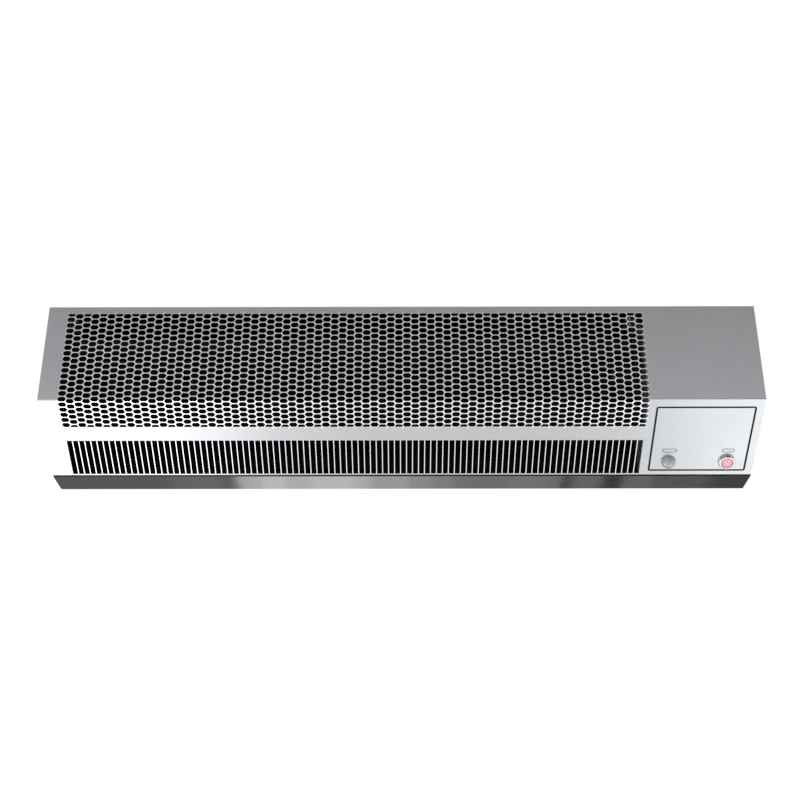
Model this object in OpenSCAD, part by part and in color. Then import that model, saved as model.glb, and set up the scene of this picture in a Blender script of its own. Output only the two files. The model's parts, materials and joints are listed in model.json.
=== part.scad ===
// Air curtain for a lift door: a cross-flow fan in a folded stainless steel casing.
// X runs along the casing, the front faces -Y, Z is up and the wall is the plane Y = 0.
// The origin is the centre of the four wall bolt holes, on the wall plane.

/* [Casing] */
// Length of the casing
casing_w = 900; // [880:10:1000]
// Height of the casing
casing_h = 190; // [188:1:200]
// Depth of the casing from wall to front
casing_d = 152.5; // [151:0.5:156]
// Height of the vertical front face
front_h = 133; // [131:1:135]
// Depth of the flat strip under the casing
strip_d = 43; // [41:1:45]
// Thickness of the casing sheets
sheet_t = 1.2; // [1:0.1:1.5]
// Depth of the cover's flange on top of the casing
cover_top_flange = 25; // [20:1:30]
// Depth of the cover's flange inside, above the strip
cover_low_flange = 14; // [10:1:16]
// Width of the flanges round an end cap
cap_flange = 12; // [8:1:12]
// Drop from the top of the casing to the wall bolts
bolt_drop = 65; // [62:1:68]

/* [Wall rail] */
// Depth of the channel in the back that hides the rail
channel_d = 11; // [9:0.5:12]
// Height of the channel
channel_h = 76; // [74:1:80]
// Length of the rail
rail_w = 800; // [760:10:840]
// Thickness of the rail
rail_t = 2; // [1.5:0.5:3]
// Spacing of the wall bolts along the rail
bolt_spacing_x = 640; // [600:10:700]
// Spacing of the wall bolts up the rail
bolt_spacing_z = 40; // [30:1:44]
// Diameter of the wall bolt holes
bolt_hole = 9; // [7:0.5:10]
// Width of each hook on the rail
hook_w = 60; // [40:5:80]
// Height of each hook above the ledge of the channel
hook_h = 9; // [6:1:10]
// Distance of the hooks from the middle
hook_x = 360; // [300:10:360]

/* [Intake holes] */
// Width of a hole
hole_w = 8; // [7:0.1:8.4]
// Height of a hole
hole_h = 6; // [4.5:0.1:6.2]
// Columns of holes
hole_cols = 72; // [60:1:72]
// Rows of holes
hole_rows = 21; // [17:1:21]
// Distance between columns
hole_pitch_x = 10.17; // [10:0.01:10.2]
// Distance between the holes of a column
hole_pitch_v = 8.025; // [7.8:0.025:8.2]
// Share of that distance by which every second column is lowered
hole_stagger = 0.375; // [0.3:0.025:0.5]
// Distance from the left end to the first column
hole_first_x = 29.8; // [28:0.1:32]
// Distance from the top edge to the perforated zone
hole_zone_top = 11; // [10:0.1:12]

/* [Outlet slots] */
// Number of slots
slot_count = 95; // [80:1:95]
// Width of a slot
slot_w = 5.7; // [4:0.1:6]
// Distance between slots
slot_pitch = 7.685; // [7.5:0.005:7.7]
// Distance from the left end to the first slot
slot_first_x = 29.7; // [28:0.1:32]
// Distance from the fold to the slots
slot_v = 65.3; // [63:0.1:67]
// Length of a slot
slot_l = 53.5; // [48:0.1:54]

/* [Fan wheel] */
// Diameter over the blades
wheel_d = 96; // [90:1:100]
// Diameter inside the blades
wheel_bore = 73; // [70:1:78]
// Number of blades
blade_count = 36; // [24:1:40]
// Thickness of a blade
blade_t = 0.9; // [0.6:0.1:1.2]
// Radius of a blade's curve
blade_r = 13; // [11:0.5:15]
// Number of stiffening rings between the end discs
ring_count = 8; // [4:1:10]
// Thickness of the rings and discs
disc_t = 2; // [1.5:0.5:3]
// Distance from the wall to the fan's axis
axis_y = 88; // [86:1:90]
// Height of the fan's axis above the wall bolts
axis_z = -2; // [-4:1:0]
// Gap between the wheel and each side plate
wheel_end_gap = 8; // [6:1:10]

/* [Air guides] */
// Distance from the left end to the left side plate
left_plate_x = 16; // [15:0.5:18]
// Distance from the right end to the right side plate
right_plate_x = 145; // [140:1:146]
// Thickness of the side plates and air guides
guide_t = 1; // [0.8:0.1:1.2]
// Width of the flange on top of a side plate
plate_flange = 14; // [12:1:16]
// Size of the cut-off front corner of a side plate
plate_corner = 34; // [20:1:40]
// Radius of the rear guide's curve
volute_r = 61.4; // [60:0.1:64]
// Drop from the fan's axis to the centre of that curve
volute_drop = 8.7; // [7:0.1:10]
// Angle at which the rear guide starts, above the level
volute_start = 78; // [70:1:85]
// Gap between the wheel and the tongue
tongue_gap = 5; // [4:0.5:7]
// Angle of the tongue below the level, at the front
tongue_angle = 113; // [110:1:118]
// Radius of the tongue's rolled lip
tongue_r = 4; // [3:0.5:5]
// Depth of the foot flanges of the air guides
guide_foot = 10; // [8:1:12]

/* [Bearing] */
// Diameter of the wheel's left shaft and of the motor shaft
shaft_d = 8; // [6:0.5:10]
// Outside diameter of the sintered bush
bush_d = 22; // [18:1:24]
// Length of the bush
bush_l = 10; // [8:1:12]
// Outside diameter of the rubber ring round the bush
rubber_d = 44; // [36:1:48]
// Length of the rubber ring
rubber_l = 8; // [6:1:9]
// Diameter of the groove that holds the rubber ring in its plate
rubber_groove_d = 36; // [32:1:40]

/* [Motor] */
// Diameter of the motor
motor_d = 84; // [70:1:88]
// Length of the motor without its bosses
motor_l = 64; // [50:1:70]
// Diameter of the bosses that carry the motor
boss_d = 28; // [24:1:30]
// Length of a boss
boss_l = 14; // [13:1:16]
// Length of the bare stator band between the two shells
stator_band = 22; // [14:1:30]
// Number of cooling slots in each shell
motor_slots = 12; // [6:1:16]
// Thickness of the motor bracket
bracket_t = 2; // [1.5:0.5:3]
// Width of the motor bracket
bracket_w = 64; // [56:1:70]
// Diameter of the hub between wheel and motor
hub_d = 30; // [26:1:34]
// Length of that hub
hub_l = 24; // [18:1:28]

/* [Controls] */
// Distance from the right end to the presence sensor
sensor_x = 109; // [100:1:112]
// Distance from the fold to the sensor and the button
control_v = 99.5; // [95:0.5:102]
// Diameter of the sensor's dome
dome_d = 18.4; // [16:0.2:20]
// Diameter of the sensor's body behind the panel
sensor_body_d = 23; // [21:1:25]
// Length of the sensor's body
sensor_body_l = 16; // [12:1:20]
// Distance from the right end to the power button
button_x = 34.4; // [32:0.2:38]
// Diameter of the button's bezel
bezel_d = 21; // [20:0.5:24]
// Height of the bezel above the panel
bezel_h = 4; // [2.5:0.5:5]
// Diameter of the button's threaded body
button_body_d = 18; // [16:0.5:19]
// Length of that body behind the panel
button_body_l = 24; // [18:1:28]
// Diameter of the moving cap
cap_d = 15.6; // [13:0.2:16]
// Travel of the cap
button_travel = 2; // [1:0.5:3]
// Width across the flats of the button's nut
button_nut_af = 24; // [22:1:26]

/* [Electrics] */
// Length of the circuit board
board_w = 96; // [80:1:100]
// Height of the circuit board
board_h = 60; // [50:1:64]
// Thickness of the circuit board
board_t = 1.6; // [1.2:0.2:2]
// Height of the board's standoffs
standoff_h = 8; // [6:1:10]
// Distance from the right end to the middle of the board
board_x = 68; // [66:1:72]
// Diameter of the run capacitor
capacitor_d = 26; // [22:1:28]
// Length of the run capacitor
capacitor_l = 52; // [40:1:60]
// Bore of the cable grommet
grommet_bore = 9; // [7:0.5:10]
// Diameter of the hole that holds the grommet
grommet_hole = 15; // [13:0.5:17]
// Distance from the wall to the grommet
grommet_y = 32; // [30:1:40]
// Height of the grommet above the wall bolts
grommet_z = 50; // [49:1:51]

/* [Fasteners] */
// Thread diameter of the casing screws
screw_d = 4; // [3:0.5:5]
// Diameter of a casing screw's head
head_d = 7.6; // [6:0.2:9]
// Height of a casing screw's head
head_h = 2.4; // [2:0.2:3]
// Length of a casing screw under its head
screw_l = 8; // [6:1:10]
// Number of screws along the cover's top flange
cover_screw_count = 5; // [3:1:7]

/* [Hidden] */
$fn = 48;
// Small gap between pieces that sit in each other
seat_gap = 0.2;
// Gap of a piece pushed over another on the same body
push_gap = 0.05;
// Running gap of a shaft in its bush
run_gap = 0.03;
// How far a cut reaches past the face it starts from
past = 1;

half_w = casing_w / 2;
top_z = bolt_drop;
bottom_z = top_z - casing_h;
fold_z = top_z - front_h;
slope_run = casing_d - strip_d;
slope_drop = fold_z - bottom_z;
slope_angle = atan2(slope_run, slope_drop);
// The sloping face ends on top of the strip's sheet
slope_l = (slope_drop - sheet_t) / cos(slope_angle);
casing_top = top_z - sheet_t;
left_x = -half_w + left_plate_x;
right_x = half_w - right_plate_x;
axis = [-axis_y, axis_z];
wheel_x0 = left_x + wheel_end_gap;
wheel_x1 = right_x - wheel_end_gap;
wheel_l = wheel_x1 - wheel_x0;

// ---------- drawing helpers ----------

// Unit vector to the right of the way from a to b
function right_of(a, b) = [b[1] - a[1], a[0] - b[0]] / norm(b - a);

// Corner between two lines that pass d1 and d2 to the right of p
function corner(p, n1, d1, n2, d2) =
    let(det = n1[0] * n2[1] - n1[1] * n2[0])
    abs(det) < 0.001
        ? p + n1 * d1
        : p + [d1 * n2[1] - n1[1] * d2, n1[0] * d2 - d1 * n2[0]] / det;

// A closed outline moved to its right, with one distance for each edge
function inset(p, d) = [
    for (i = [0 : len(p) - 1])
        let(
            before = (i + len(p) - 1) % len(p),
            after = (i + 1) % len(p)
        )
        corner(p[i], right_of(p[before], p[i]), d[before], right_of(p[i], p[after]), d[i])
];

// The other side of a sheet that follows an open path on its right
function sheet_side(p, t) = [
    for (i = [0 : len(p) - 1])
        let(
            n1 = right_of(p[max(i - 1, 0)], p[max(i, 1)]),
            n2 = right_of(p[min(i, len(p) - 2)], p[min(i + 1, len(p) - 1)])
        )
        corner(p[i], n1, t, n2, t)
];

function reversed(p) = [for (i = [len(p) - 1 : -1 : 0]) p[i]];

// Cross-section of a folded sheet, from the path of one of its sides
module sheet_2d(path, t) {
    polygon(concat(path, reversed(sheet_side(path, t))));
}

// A Y-Z outline drawn out along X from x0 to x1
module along_x(x0, x1) {
    translate([x0, 0, 0])
        rotate([90, 0, 90])
            linear_extrude(x1 - x0)
                children();
}

// Children drawn along X on the fan's axis
module on_axis(x) {
    translate([x, axis[0], axis[1]])
        rotate([90, 0, 90])
            children();
}

// A flat pattern laid on the front face: X along, Y down from the top edge
module on_front() {
    translate([0, -casing_d, top_z])
        rotate([-90, 0, 0])
            children();
}

// A flat pattern laid on the sloping face: X along, Y down from the fold
module on_slope() {
    translate([0, -casing_d, fold_z])
        rotate([slope_angle - 90, 0, 0])
            children();
}

// A piece set through the sloping face, its Z pointing out of the panel
module through_slope(x, v) {
    on_slope()
        translate([x, v, 0])
            rotate([180, 0, 0])
                children();
}

module tube(d_out, d_in, l) {
    difference() {
        cylinder(d = d_out, h = l);
        translate([0, 0, -past])
            cylinder(d = d_in, h = l + 2 * past);
    }
}

// A pan-head screw that points down from z = 0, with a cross recess
module pan_screw(d, head, height, l) {
    difference() {
        cylinder(d = head, h = height);
        for (turn = [0, 90])
            rotate([0, 0, turn])
                translate([-head / 4, -d / 10, height / 2])
                    cube([head / 2, d / 5, height]);
    }
    translate([0, 0, -l])
        cylinder(d = d - 2 * push_gap, h = l);
}

// ---------- casing ----------

// Outline of the casing in Y and Z, walked with the inside on the right
casing_outline = [
    [-casing_d, top_z],
    [0, top_z],
    [0, channel_h / 2],
    [-channel_d, channel_h / 2],
    [-channel_d, -channel_h / 2],
    [0, -channel_h / 2],
    [0, bottom_z],
    [-strip_d, bottom_z],
    [-casing_d, fold_z]
];

// Outline inside the casing: top, back edges, strip, slope and front each have their distance
function inside_casing(top, back, strip, slope, front) =
    inset(casing_outline, [top, back, back, back, back, back, strip, slope, front]);

cover_screw_y = -casing_d + cover_top_flange / 2;
// Distance from the ends of the casing to the first and last screw
cover_screw_end = cap_flange + head_d + 20;
cover_screw_xs = [
    for (i = [0 : cover_screw_count - 1])
        (i / (cover_screw_count - 1) - 0.5) * (casing_w - 2 * cover_screw_end)
];

// Level on the unfolded sheet of a hole in a column and row
function hole_v(col, row) =
    hole_zone_top + hole_h / 2 + (row - hole_stagger + (col % 2) * hole_stagger) * hole_pitch_v;

// Centres of the intake holes between two levels of the unfolded sheet
function hole_places(v0, v1) = [
    for (col = [0 : hole_cols - 1])
        let(
            first = ceil((v0 - hole_v(col, 0)) / hole_pitch_v),
            last = floor((v1 - hole_v(col, 0)) / hole_pitch_v)
        )
        for (row = [first : last])
            [-half_w + hole_first_x + col * hole_pitch_x, hole_v(col, row)]
];

// Intake holes with their centres at some places
module intake_holes(places) {
    for (place = places)
        translate(place)
            square([hole_w, hole_h], center = true);
}

// Holes from one level to another; a row on an edge of the perforated zone is cut by it
module intake_pattern(v0, v1) {
    zone_end = hole_v(0, hole_rows - 1) + hole_h / 2;
    reach = hole_h / 2;
    spare = seat_gap / 2;
    intake_holes(hole_places(max(v0, hole_zone_top) + reach - spare, min(v1, zone_end) - reach + spare));
    intersection() {
        translate([-half_w, hole_zone_top])
            square([casing_w, zone_end - hole_zone_top]);
        for (edge = [hole_zone_top, zone_end])
            if (edge > v0 && edge < v1)
                intake_holes(hole_places(edge - reach + spare, edge + reach - spare));
    }
}

// Cutters for the holes that reach over the fold
module fold_holes() {
    reach = hole_h / 2;
    for (place = hole_places(front_h - reach, front_h + reach)) {
        z = top_z - place[1] + reach;
        s = place[1] + reach - front_h;
        along_x(place[0] - hole_w / 2, place[0] + hole_w / 2)
            polygon([
                [-casing_d - past, z],
                [-casing_d - past, fold_z - past],
                slope_point(s, -past),
                slope_point(s, sheet_t + past),
                [-casing_d + sheet_t + past, z]
            ]);
    }
}

module slot_pattern() {
    for (i = [0 : slot_count - 1])
        translate([-half_w + slot_first_x + i * slot_pitch - slot_w / 2, slot_v])
            square([slot_w, slot_l]);
}

// A flat pattern made into a cutter that goes through a sheet laid on it
module through_sheet() {
    translate([0, 0, -past])
        linear_extrude(sheet_t + 2 * past)
            children();
}

// The folded cover: a perforated front and slope, a flange on top and one inside above the strip
module front_cover() {
    slope_end = -casing_d + slope_l * sin(slope_angle);
    path = [
        [slope_end + cover_low_flange, bottom_z + sheet_t],
        [slope_end, bottom_z + sheet_t],
        [-casing_d, fold_z],
        [-casing_d, top_z],
        [-casing_d + cover_top_flange, top_z]
    ];
    color("silver")
        difference() {
            along_x(-half_w, half_w)
                sheet_2d(path, sheet_t);
            on_front()
                through_sheet()
                    intake_pattern(0, front_h);
            fold_holes();
            on_slope()
                through_sheet() {
                    translate([0, -front_h])
                        intake_pattern(front_h, front_h + slope_l);
                    slot_pattern();
                    translate([half_w - sensor_x, control_v])
                        circle(d = dome_d + 2 * seat_gap);
                    translate([half_w - button_x, control_v])
                        circle(d = button_body_d + 2 * seat_gap);
                }
            for (x = cover_screw_xs)
                translate([x, cover_screw_y, casing_top - past])
                    cylinder(d = screw_d + 2 * seat_gap, h = sheet_t + 2 * past);
        }
}

// Y places of the screws that hold an end cap, and X place from the middle
cap_screw_ys = [-casing_d + 2 * cover_top_flange, -cover_top_flange];
cap_screw_x = half_w - sheet_t - cap_flange / 2;
// Y places of the screws that hold a side plate, and their X places
plate_screw_ys = [-axis_y - wheel_d / 4, -axis_y + wheel_d / 2];
plate_screw_xs = [left_x + plate_flange / 2, right_x - plate_flange / 2];
hook_y = -channel_d + rail_t;

module rear_casing() {
    path = concat(
        [[-casing_d + sheet_t + seat_gap, casing_top], [0, casing_top]],
        [for (i = [2 : 7]) casing_outline[i]]
    );
    color("lightslategray")
        difference() {
            along_x(-half_w, half_w)
                sheet_2d(path, sheet_t);
            for (x = cover_screw_xs)
                translate([x, cover_screw_y, casing_top - sheet_t - past])
                    cylinder(d = screw_d, h = sheet_t + 2 * past);
            for (side = [-1, 1], y = cap_screw_ys)
                translate([side * cap_screw_x, y, casing_top - sheet_t - past])
                    cylinder(d = screw_d + 2 * seat_gap, h = sheet_t + 2 * past);
            for (x = plate_screw_xs, y = plate_screw_ys)
                translate([x, y, casing_top - sheet_t - past])
                    cylinder(d = screw_d + 2 * seat_gap, h = sheet_t + 2 * past);
            for (side = [-1, 1])
                translate([side * hook_x - hook_w / 2 - past, hook_y - seat_gap, channel_h / 2 - past])
                    cube([hook_w + 2 * past, rail_t + 2 * seat_gap, sheet_t + 2 * past]);
        }
}

// Pan-shaped end cap, drawn at the left end and facing -X
module end_cap() {
    outline = inside_casing(2 * sheet_t + seat_gap, sheet_t + seat_gap, 2 * sheet_t + seat_gap,
                            sheet_t + seat_gap, sheet_t + seat_gap);
    rim = inset(outline, [for (i = [0 : len(outline) - 1]) sheet_t]);
    difference() {
        union() {
            along_x(-half_w, -half_w + sheet_t)
                polygon(outline);
            along_x(-half_w, -half_w + sheet_t + cap_flange)
                difference() {
                    polygon(outline);
                    polygon(rim);
                }
        }
        for (y = cap_screw_ys)
            translate([-cap_screw_x, y, casing_top - 3 * sheet_t - past])
                cylinder(d = screw_d, h = 3 * sheet_t);
    }
}

module left_end_cap() {
    color("gray")
        end_cap();
}

module right_end_cap() {
    color("gray")
        difference() {
            mirror([1, 0, 0])
                end_cap();
            translate([half_w - sheet_t - past, -grommet_y, grommet_z])
                rotate([0, 90, 0])
                    cylinder(d = grommet_hole, h = sheet_t + 2 * past);
        }
}

module wall_rail() {
    path = [
        [hook_y, channel_h / 2],
        [0, channel_h / 2],
        [0, -channel_h / 2 + 2 * rail_t]
    ];
    color("darkgray")
        difference() {
            union() {
                along_x(-rail_w / 2, rail_w / 2)
                    sheet_2d(path, rail_t);
                for (side = [-1, 1])
                    translate([side * hook_x - hook_w / 2, hook_y, channel_h / 2 - rail_t])
                        cube([hook_w, rail_t, rail_t + hook_h]);
            }
            for (x = [-1, 1], z = [-1, 1])
                translate([x * bolt_spacing_x / 2, past, z * bolt_spacing_z / 2])
                    rotate([90, 0, 0])
                        cylinder(d = bolt_hole, h = rail_t + 2 * past);
        }
}

// ---------- fan unit ----------

// A point inside the sloping face: s along it from the fold, depth into the casing
function slope_point(s, depth) = [
    -casing_d + s * sin(slope_angle) + depth * cos(slope_angle),
    fold_z - s * cos(slope_angle) + depth * sin(slope_angle)
];

// Angle, seen from c, of the place where a line from p touches a circle about c
function touch_angle(c, r, p) = atan2(p[1] - c[1], p[0] - c[0]) + acos(r / norm(p - c));

function on_circle(c, r, a) = c + r * [cos(a), sin(a)];

// Side plate between two X places; its flange lies under the casing's top
module side_plate(x0, x1, flange_x, hole_d) {
    outline = inside_casing(2 * sheet_t, sheet_t + past, 2 * sheet_t + seat_gap,
                            sheet_t + seat_gap, sheet_t + seat_gap);
    plate_top = top_z - 2 * sheet_t;
    difference() {
        union() {
            along_x(x0, x1)
                difference() {
                    polygon(outline);
                    polygon([
                        [-casing_d - past, top_z + past],
                        [-casing_d + plate_corner + past, top_z + past],
                        [-casing_d - past, top_z - plate_corner - past]
                    ]);
                }
            translate([flange_x, -casing_d + plate_corner, plate_top - guide_t])
                cube([plate_flange, casing_d - plate_corner - channel_d, guide_t]);
        }
        on_axis(x0 - past)
            cylinder(d = hole_d, h = x1 - x0 + 2 * past);
        for (y = plate_screw_ys)
            translate([flange_x + plate_flange / 2, y, plate_top - guide_t - past])
                cylinder(d = screw_d, h = guide_t + 2 * past);
        children();
    }
}

module left_side_plate() {
    color("slategray")
        side_plate(left_x - guide_t, left_x, left_x, rubber_groove_d + 2 * push_gap);
}

// Places of the screws that hold the motor bracket, round the fan's axis
bracket_screw_r = rubber_d / 2 + head_d / 2 + 2 * seat_gap + 1;
bracket_screw_angles = [45, 135, 225, 315];

module right_side_plate() {
    color("slategray")
        side_plate(right_x, right_x + guide_t, right_x - plate_flange, rubber_d + 4 * seat_gap)
            for (a = bracket_screw_angles)
                on_axis(right_x - past)
                    rotate([0, 0, a])
                        translate([bracket_screw_r, 0, 0])
                            cylinder(d = screw_d, h = guide_t + 2 * past);
}

module volute() {
    centre = [axis[0], axis[1] - volute_drop];
    heel = [slope_point(slope_l, sheet_t)[0] + 2 * seat_gap, bottom_z + 2 * sheet_t];
    touch = touch_angle(centre, volute_r, heel);
    steps = 18;
    path = concat(
        [heel + [guide_foot, 0], heel],
        [for (i = [0 : steps]) on_circle(centre, volute_r, touch + (volute_start - touch) * i / steps)]
    );
    color("lightgray")
        along_x(left_x, right_x)
            sheet_2d(path, guide_t);
}

module tongue() {
    centre = on_circle(axis, wheel_d / 2 + tongue_gap + tongue_r, -tongue_angle);
    heel = slope_point(slot_v - guide_t, sheet_t);
    toe = slope_point(slot_v - guide_t - guide_foot, sheet_t);
    touch = touch_angle(centre, tongue_r, heel);
    lip_end = 200;
    steps = 12;
    path = concat(
        [for (i = [0 : steps]) on_circle(centre, tongue_r, lip_end + (touch - lip_end) * i / steps)],
        [heel, toe]
    );
    color("lightgray")
        along_x(left_x, right_x)
            sheet_2d(path, guide_t);
}

// Cross-section of one blade, with its hollow side facing the way it turns
module blade_2d() {
    pivot = wheel_bore / 2 + 4;
    reach = wheel_d;
    low_angle = 4;
    high_angle = 45;
    intersection() {
        difference() {
            circle(d = wheel_d - blade_t);
            circle(d = wheel_bore);
        }
        translate([pivot, 0])
            difference() {
                circle(r = blade_r + blade_t / 2);
                circle(r = blade_r - blade_t / 2);
            }
        polygon([
            [0, 0],
            reach * [cos(low_angle), sin(low_angle)],
            reach * [cos(high_angle), sin(high_angle)]
        ]);
    }
}

module fan_wheel() {
    ring_gap = (wheel_l - disc_t) / (ring_count + 1);
    hub_x = wheel_x0 + disc_t;
    color("dimgray")
        difference() {
            union() {
                on_axis(wheel_x0)
                    linear_extrude(wheel_l)
                        for (i = [0 : blade_count - 1])
                            rotate([0, 0, i * 360 / blade_count])
                                blade_2d();
                for (i = [1 : ring_count])
                    on_axis(wheel_x0 + i * ring_gap)
                        tube(wheel_d, wheel_bore - 3 * disc_t, disc_t);
                on_axis(wheel_x0)
                    cylinder(d = wheel_d, h = disc_t);
                on_axis(hub_x)
                    cylinder(d = hub_d, h = hub_l / 2);
                on_axis(wheel_x1 - disc_t)
                    cylinder(d = wheel_d, h = disc_t);
            }
            on_axis(wheel_x0 - past)
                cylinder(d = shaft_d + 2 * push_gap, h = hub_l / 2 + disc_t + 2 * past);
            on_axis(wheel_x1 - disc_t - past)
                cylinder(d = shaft_d + 4 * seat_gap, h = disc_t + 2 * past);
        }
}

bearing_x = left_x - guide_t / 2;

module wheel_shaft() {
    x0 = bearing_x - bush_l / 2 - 2;
    color("whitesmoke")
        on_axis(x0)
            cylinder(d = shaft_d, h = wheel_x0 + disc_t + hub_l / 2 - x0);
}

module bearing_bush() {
    edge = 1;
    color("peru")
        on_axis(bearing_x - bush_l / 2)
            rotate_extrude()
                polygon([
                    [shaft_d / 2 + run_gap, 0],
                    [bush_d / 2 - edge, 0],
                    [bush_d / 2, edge],
                    [bush_d / 2, bush_l - edge],
                    [bush_d / 2 - edge, bush_l],
                    [shaft_d / 2 + run_gap, bush_l]
                ]);
}

// Rubber ring that carries a round piece in a plate, with a groove for the plate's edge
module grooved_ring(bore, plate_t) {
    edge = 1;
    lip = (rubber_l - plate_t) / 2 - push_gap;
    rotate_extrude()
        polygon([
            [bore / 2 + push_gap, -rubber_l / 2],
            [rubber_d / 2 - edge, -rubber_l / 2],
            [rubber_d / 2, edge - rubber_l / 2],
            [rubber_d / 2, lip - rubber_l / 2],
            [rubber_groove_d / 2, lip - rubber_l / 2],
            [rubber_groove_d / 2, rubber_l / 2 - lip],
            [rubber_d / 2, rubber_l / 2 - lip],
            [rubber_d / 2, rubber_l / 2 - edge],
            [rubber_d / 2 - edge, rubber_l / 2],
            [bore / 2 + push_gap, rubber_l / 2]
        ]);
}

module bearing_rubber() {
    color("black")
        on_axis(bearing_x)
            grooved_ring(bush_d, guide_t);
}

// ---------- motor ----------

leg_x = right_x + guide_t;
front_ring_x = leg_x + bracket_t / 2;
motor_x0 = front_ring_x + rubber_l / 2 + 2 * seat_gap + 1;
motor_x1 = motor_x0 + motor_l;
rear_ring_x = motor_x1 + (motor_x0 - front_ring_x);
shell_l = (motor_l - stator_band) / 2;
shell_wall = 2.5;
// Share of the motor's diameter that the rotor has
rotor_share = 0.55;
rotor_d = motor_d * rotor_share;
hub_x0 = wheel_x1 - disc_t - hub_l;
motor_bolt_r = motor_d / 2 - shell_wall - screw_d / 2 - 0.5;
motor_bolt_angles = [45, 135, 225, 315];

// Holes for the long motor bolts, from x = 0 of the motor
module motor_bolt_holes(l) {
    for (a = motor_bolt_angles)
        rotate([0, 0, a])
            translate([motor_bolt_r, 0, -past])
                cylinder(d = screw_d + 2 * push_gap, h = l + 2 * past);
}

// One end shell: a cup with a slotted end and a boss, its boss pointing to -Z
module motor_shell() {
    edge = 1;
    bore = shaft_d / 2 + run_gap;
    slot_in = boss_d / 2 + 4;
    slot_out = motor_bolt_r - screw_d;
    difference() {
        rotate_extrude()
            polygon([
                [bore, -boss_l],
                [boss_d / 2 - edge, -boss_l],
                [boss_d / 2, edge - boss_l],
                [boss_d / 2, 0],
                [motor_d / 2 - edge, 0],
                [motor_d / 2, edge],
                [motor_d / 2, shell_l],
                [motor_d / 2 - shell_wall, shell_l],
                [motor_d / 2 - shell_wall, shell_wall],
                [bore, shell_wall]
            ]);
        for (i = [0 : motor_slots - 1])
            rotate([0, 0, i * 360 / motor_slots])
                translate([slot_in, -screw_d / 4, -past])
                    cube([slot_out - slot_in, screw_d / 2, shell_wall + 2 * past]);
        motor_bolt_holes(shell_l);
    }
}

module motor_front_shell() {
    color("silver")
        on_axis(motor_x0)
            motor_shell();
}

module motor_rear_shell() {
    color("silver")
        on_axis(motor_x1)
            rotate([180, 0, 0])
                motor_shell();
}

module motor_stator() {
    inner = rotor_d + 4 * seat_gap;
    rim = motor_d - 2 * shell_wall - 2 * push_gap;
    color("dimgray")
        on_axis(motor_x0 + shell_l)
            difference() {
                union() {
                    tube(motor_d, inner, stator_band);
                    translate([0, 0, -shell_l / 4])
                        tube(rim, inner, stator_band + shell_l / 2);
                }
                translate([0, 0, -shell_l / 4])
                    motor_bolt_holes(stator_band + shell_l / 2);
            }
}

module motor_windings() {
    coil_l = shell_l / 2;
    edge = 2;
    inner = rotor_d / 2 + 2;
    outer = motor_bolt_r - screw_d / 2 - 1;
    color("sienna")
        for (x = [motor_x0 + shell_l * 3 / 4 - coil_l, motor_x0 + shell_l * 5 / 4 + stator_band])
            on_axis(x)
                rotate_extrude()
                    polygon([
                        [inner + edge, 0],
                        [outer - edge, 0],
                        [outer, edge],
                        [outer, coil_l - edge],
                        [outer - edge, coil_l],
                        [inner + edge, coil_l],
                        [inner, coil_l - edge],
                        [inner, edge]
                    ]);
}

module motor_shaft() {
    stub = 3;
    color("whitesmoke")
        on_axis(hub_x0)
            cylinder(d = shaft_d, h = motor_x1 + boss_l + stub - hub_x0);
}

module motor_rotor() {
    color("gray")
        on_axis(motor_x0 + shell_l - shell_l / 4)
            tube(rotor_d, shaft_d + 2 * push_gap, stator_band + shell_l / 2);
}

module motor_rubbers() {
    color("black")
        for (x = [front_ring_x, rear_ring_x])
            on_axis(x)
                grooved_ring(boss_d, bracket_t);
}

module motor_bracket() {
    foot_gap = 6;
    base_z = -motor_d / 2 - foot_gap;
    color("silver")
        difference() {
            union() {
                for (x = [leg_x, rear_ring_x - bracket_t / 2])
                    on_axis(x)
                        linear_extrude(bracket_t) {
                            circle(d = bracket_w);
                            translate([-bracket_w / 2, base_z - bracket_t])
                                square([bracket_w, bracket_t - base_z]);
                        }
                on_axis(leg_x)
                    translate([-bracket_w / 2, base_z - bracket_t, 0])
                        cube([bracket_w, bracket_t, rear_ring_x + bracket_t / 2 - leg_x]);
            }
            on_axis(leg_x - past)
                cylinder(d = rubber_groove_d + 2 * push_gap, h = motor_l * 2);
            for (a = bracket_screw_angles)
                on_axis(leg_x - past)
                    rotate([0, 0, a])
                        translate([bracket_screw_r, 0, 0])
                            cylinder(d = screw_d + 2 * seat_gap, h = bracket_t + 2 * past);
        }
}

// Long bolts through the motor, with a round head at the rear and a nut at the front
module motor_bolts() {
    nut_h = 3;
    color("gainsboro")
        on_axis(motor_x0)
            for (a = motor_bolt_angles)
                rotate([0, 0, a])
                    translate([motor_bolt_r, 0, 0]) {
                        translate([0, 0, -nut_h - past])
                            cylinder(d = screw_d, h = motor_l + nut_h + past);
                        translate([0, 0, -nut_h])
                            cylinder(d = head_d, h = nut_h, $fn = 6);
                        translate([0, 0, motor_l])
                            cylinder(d = head_d, h = head_h);
                    }
}

module drive_hub() {
    flange_w = 7;
    flange_l = 3;
    color("darkslategray")
        difference() {
            union() {
                on_axis(hub_x0)
                    cylinder(d = hub_d, h = hub_l);
                on_axis(hub_x0 + hub_l - flange_l)
                    cylinder(d = hub_d + 2 * flange_w, h = flange_l);
            }
            on_axis(hub_x0 - past)
                cylinder(d = shaft_d + 2 * push_gap, h = hub_l + 2 * past);
            on_axis(hub_x0 + hub_l / 3)
                rotate([-90, 0, 0])
                    cylinder(d = screw_d + 2 * push_gap, h = hub_d);
        }
}

module hub_screw() {
    start = shaft_d / 2 + push_gap;
    color("dimgray")
        on_axis(hub_x0 + hub_l / 3)
            rotate([-90, 0, 0])
                translate([0, 0, start])
                    difference() {
                        cylinder(d = screw_d, h = hub_d / 2 - start);
                        translate([0, 0, screw_d])
                            cylinder(d = screw_d / 2, h = hub_d, $fn = 6);
                    }
}

// ---------- controls ----------

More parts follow.
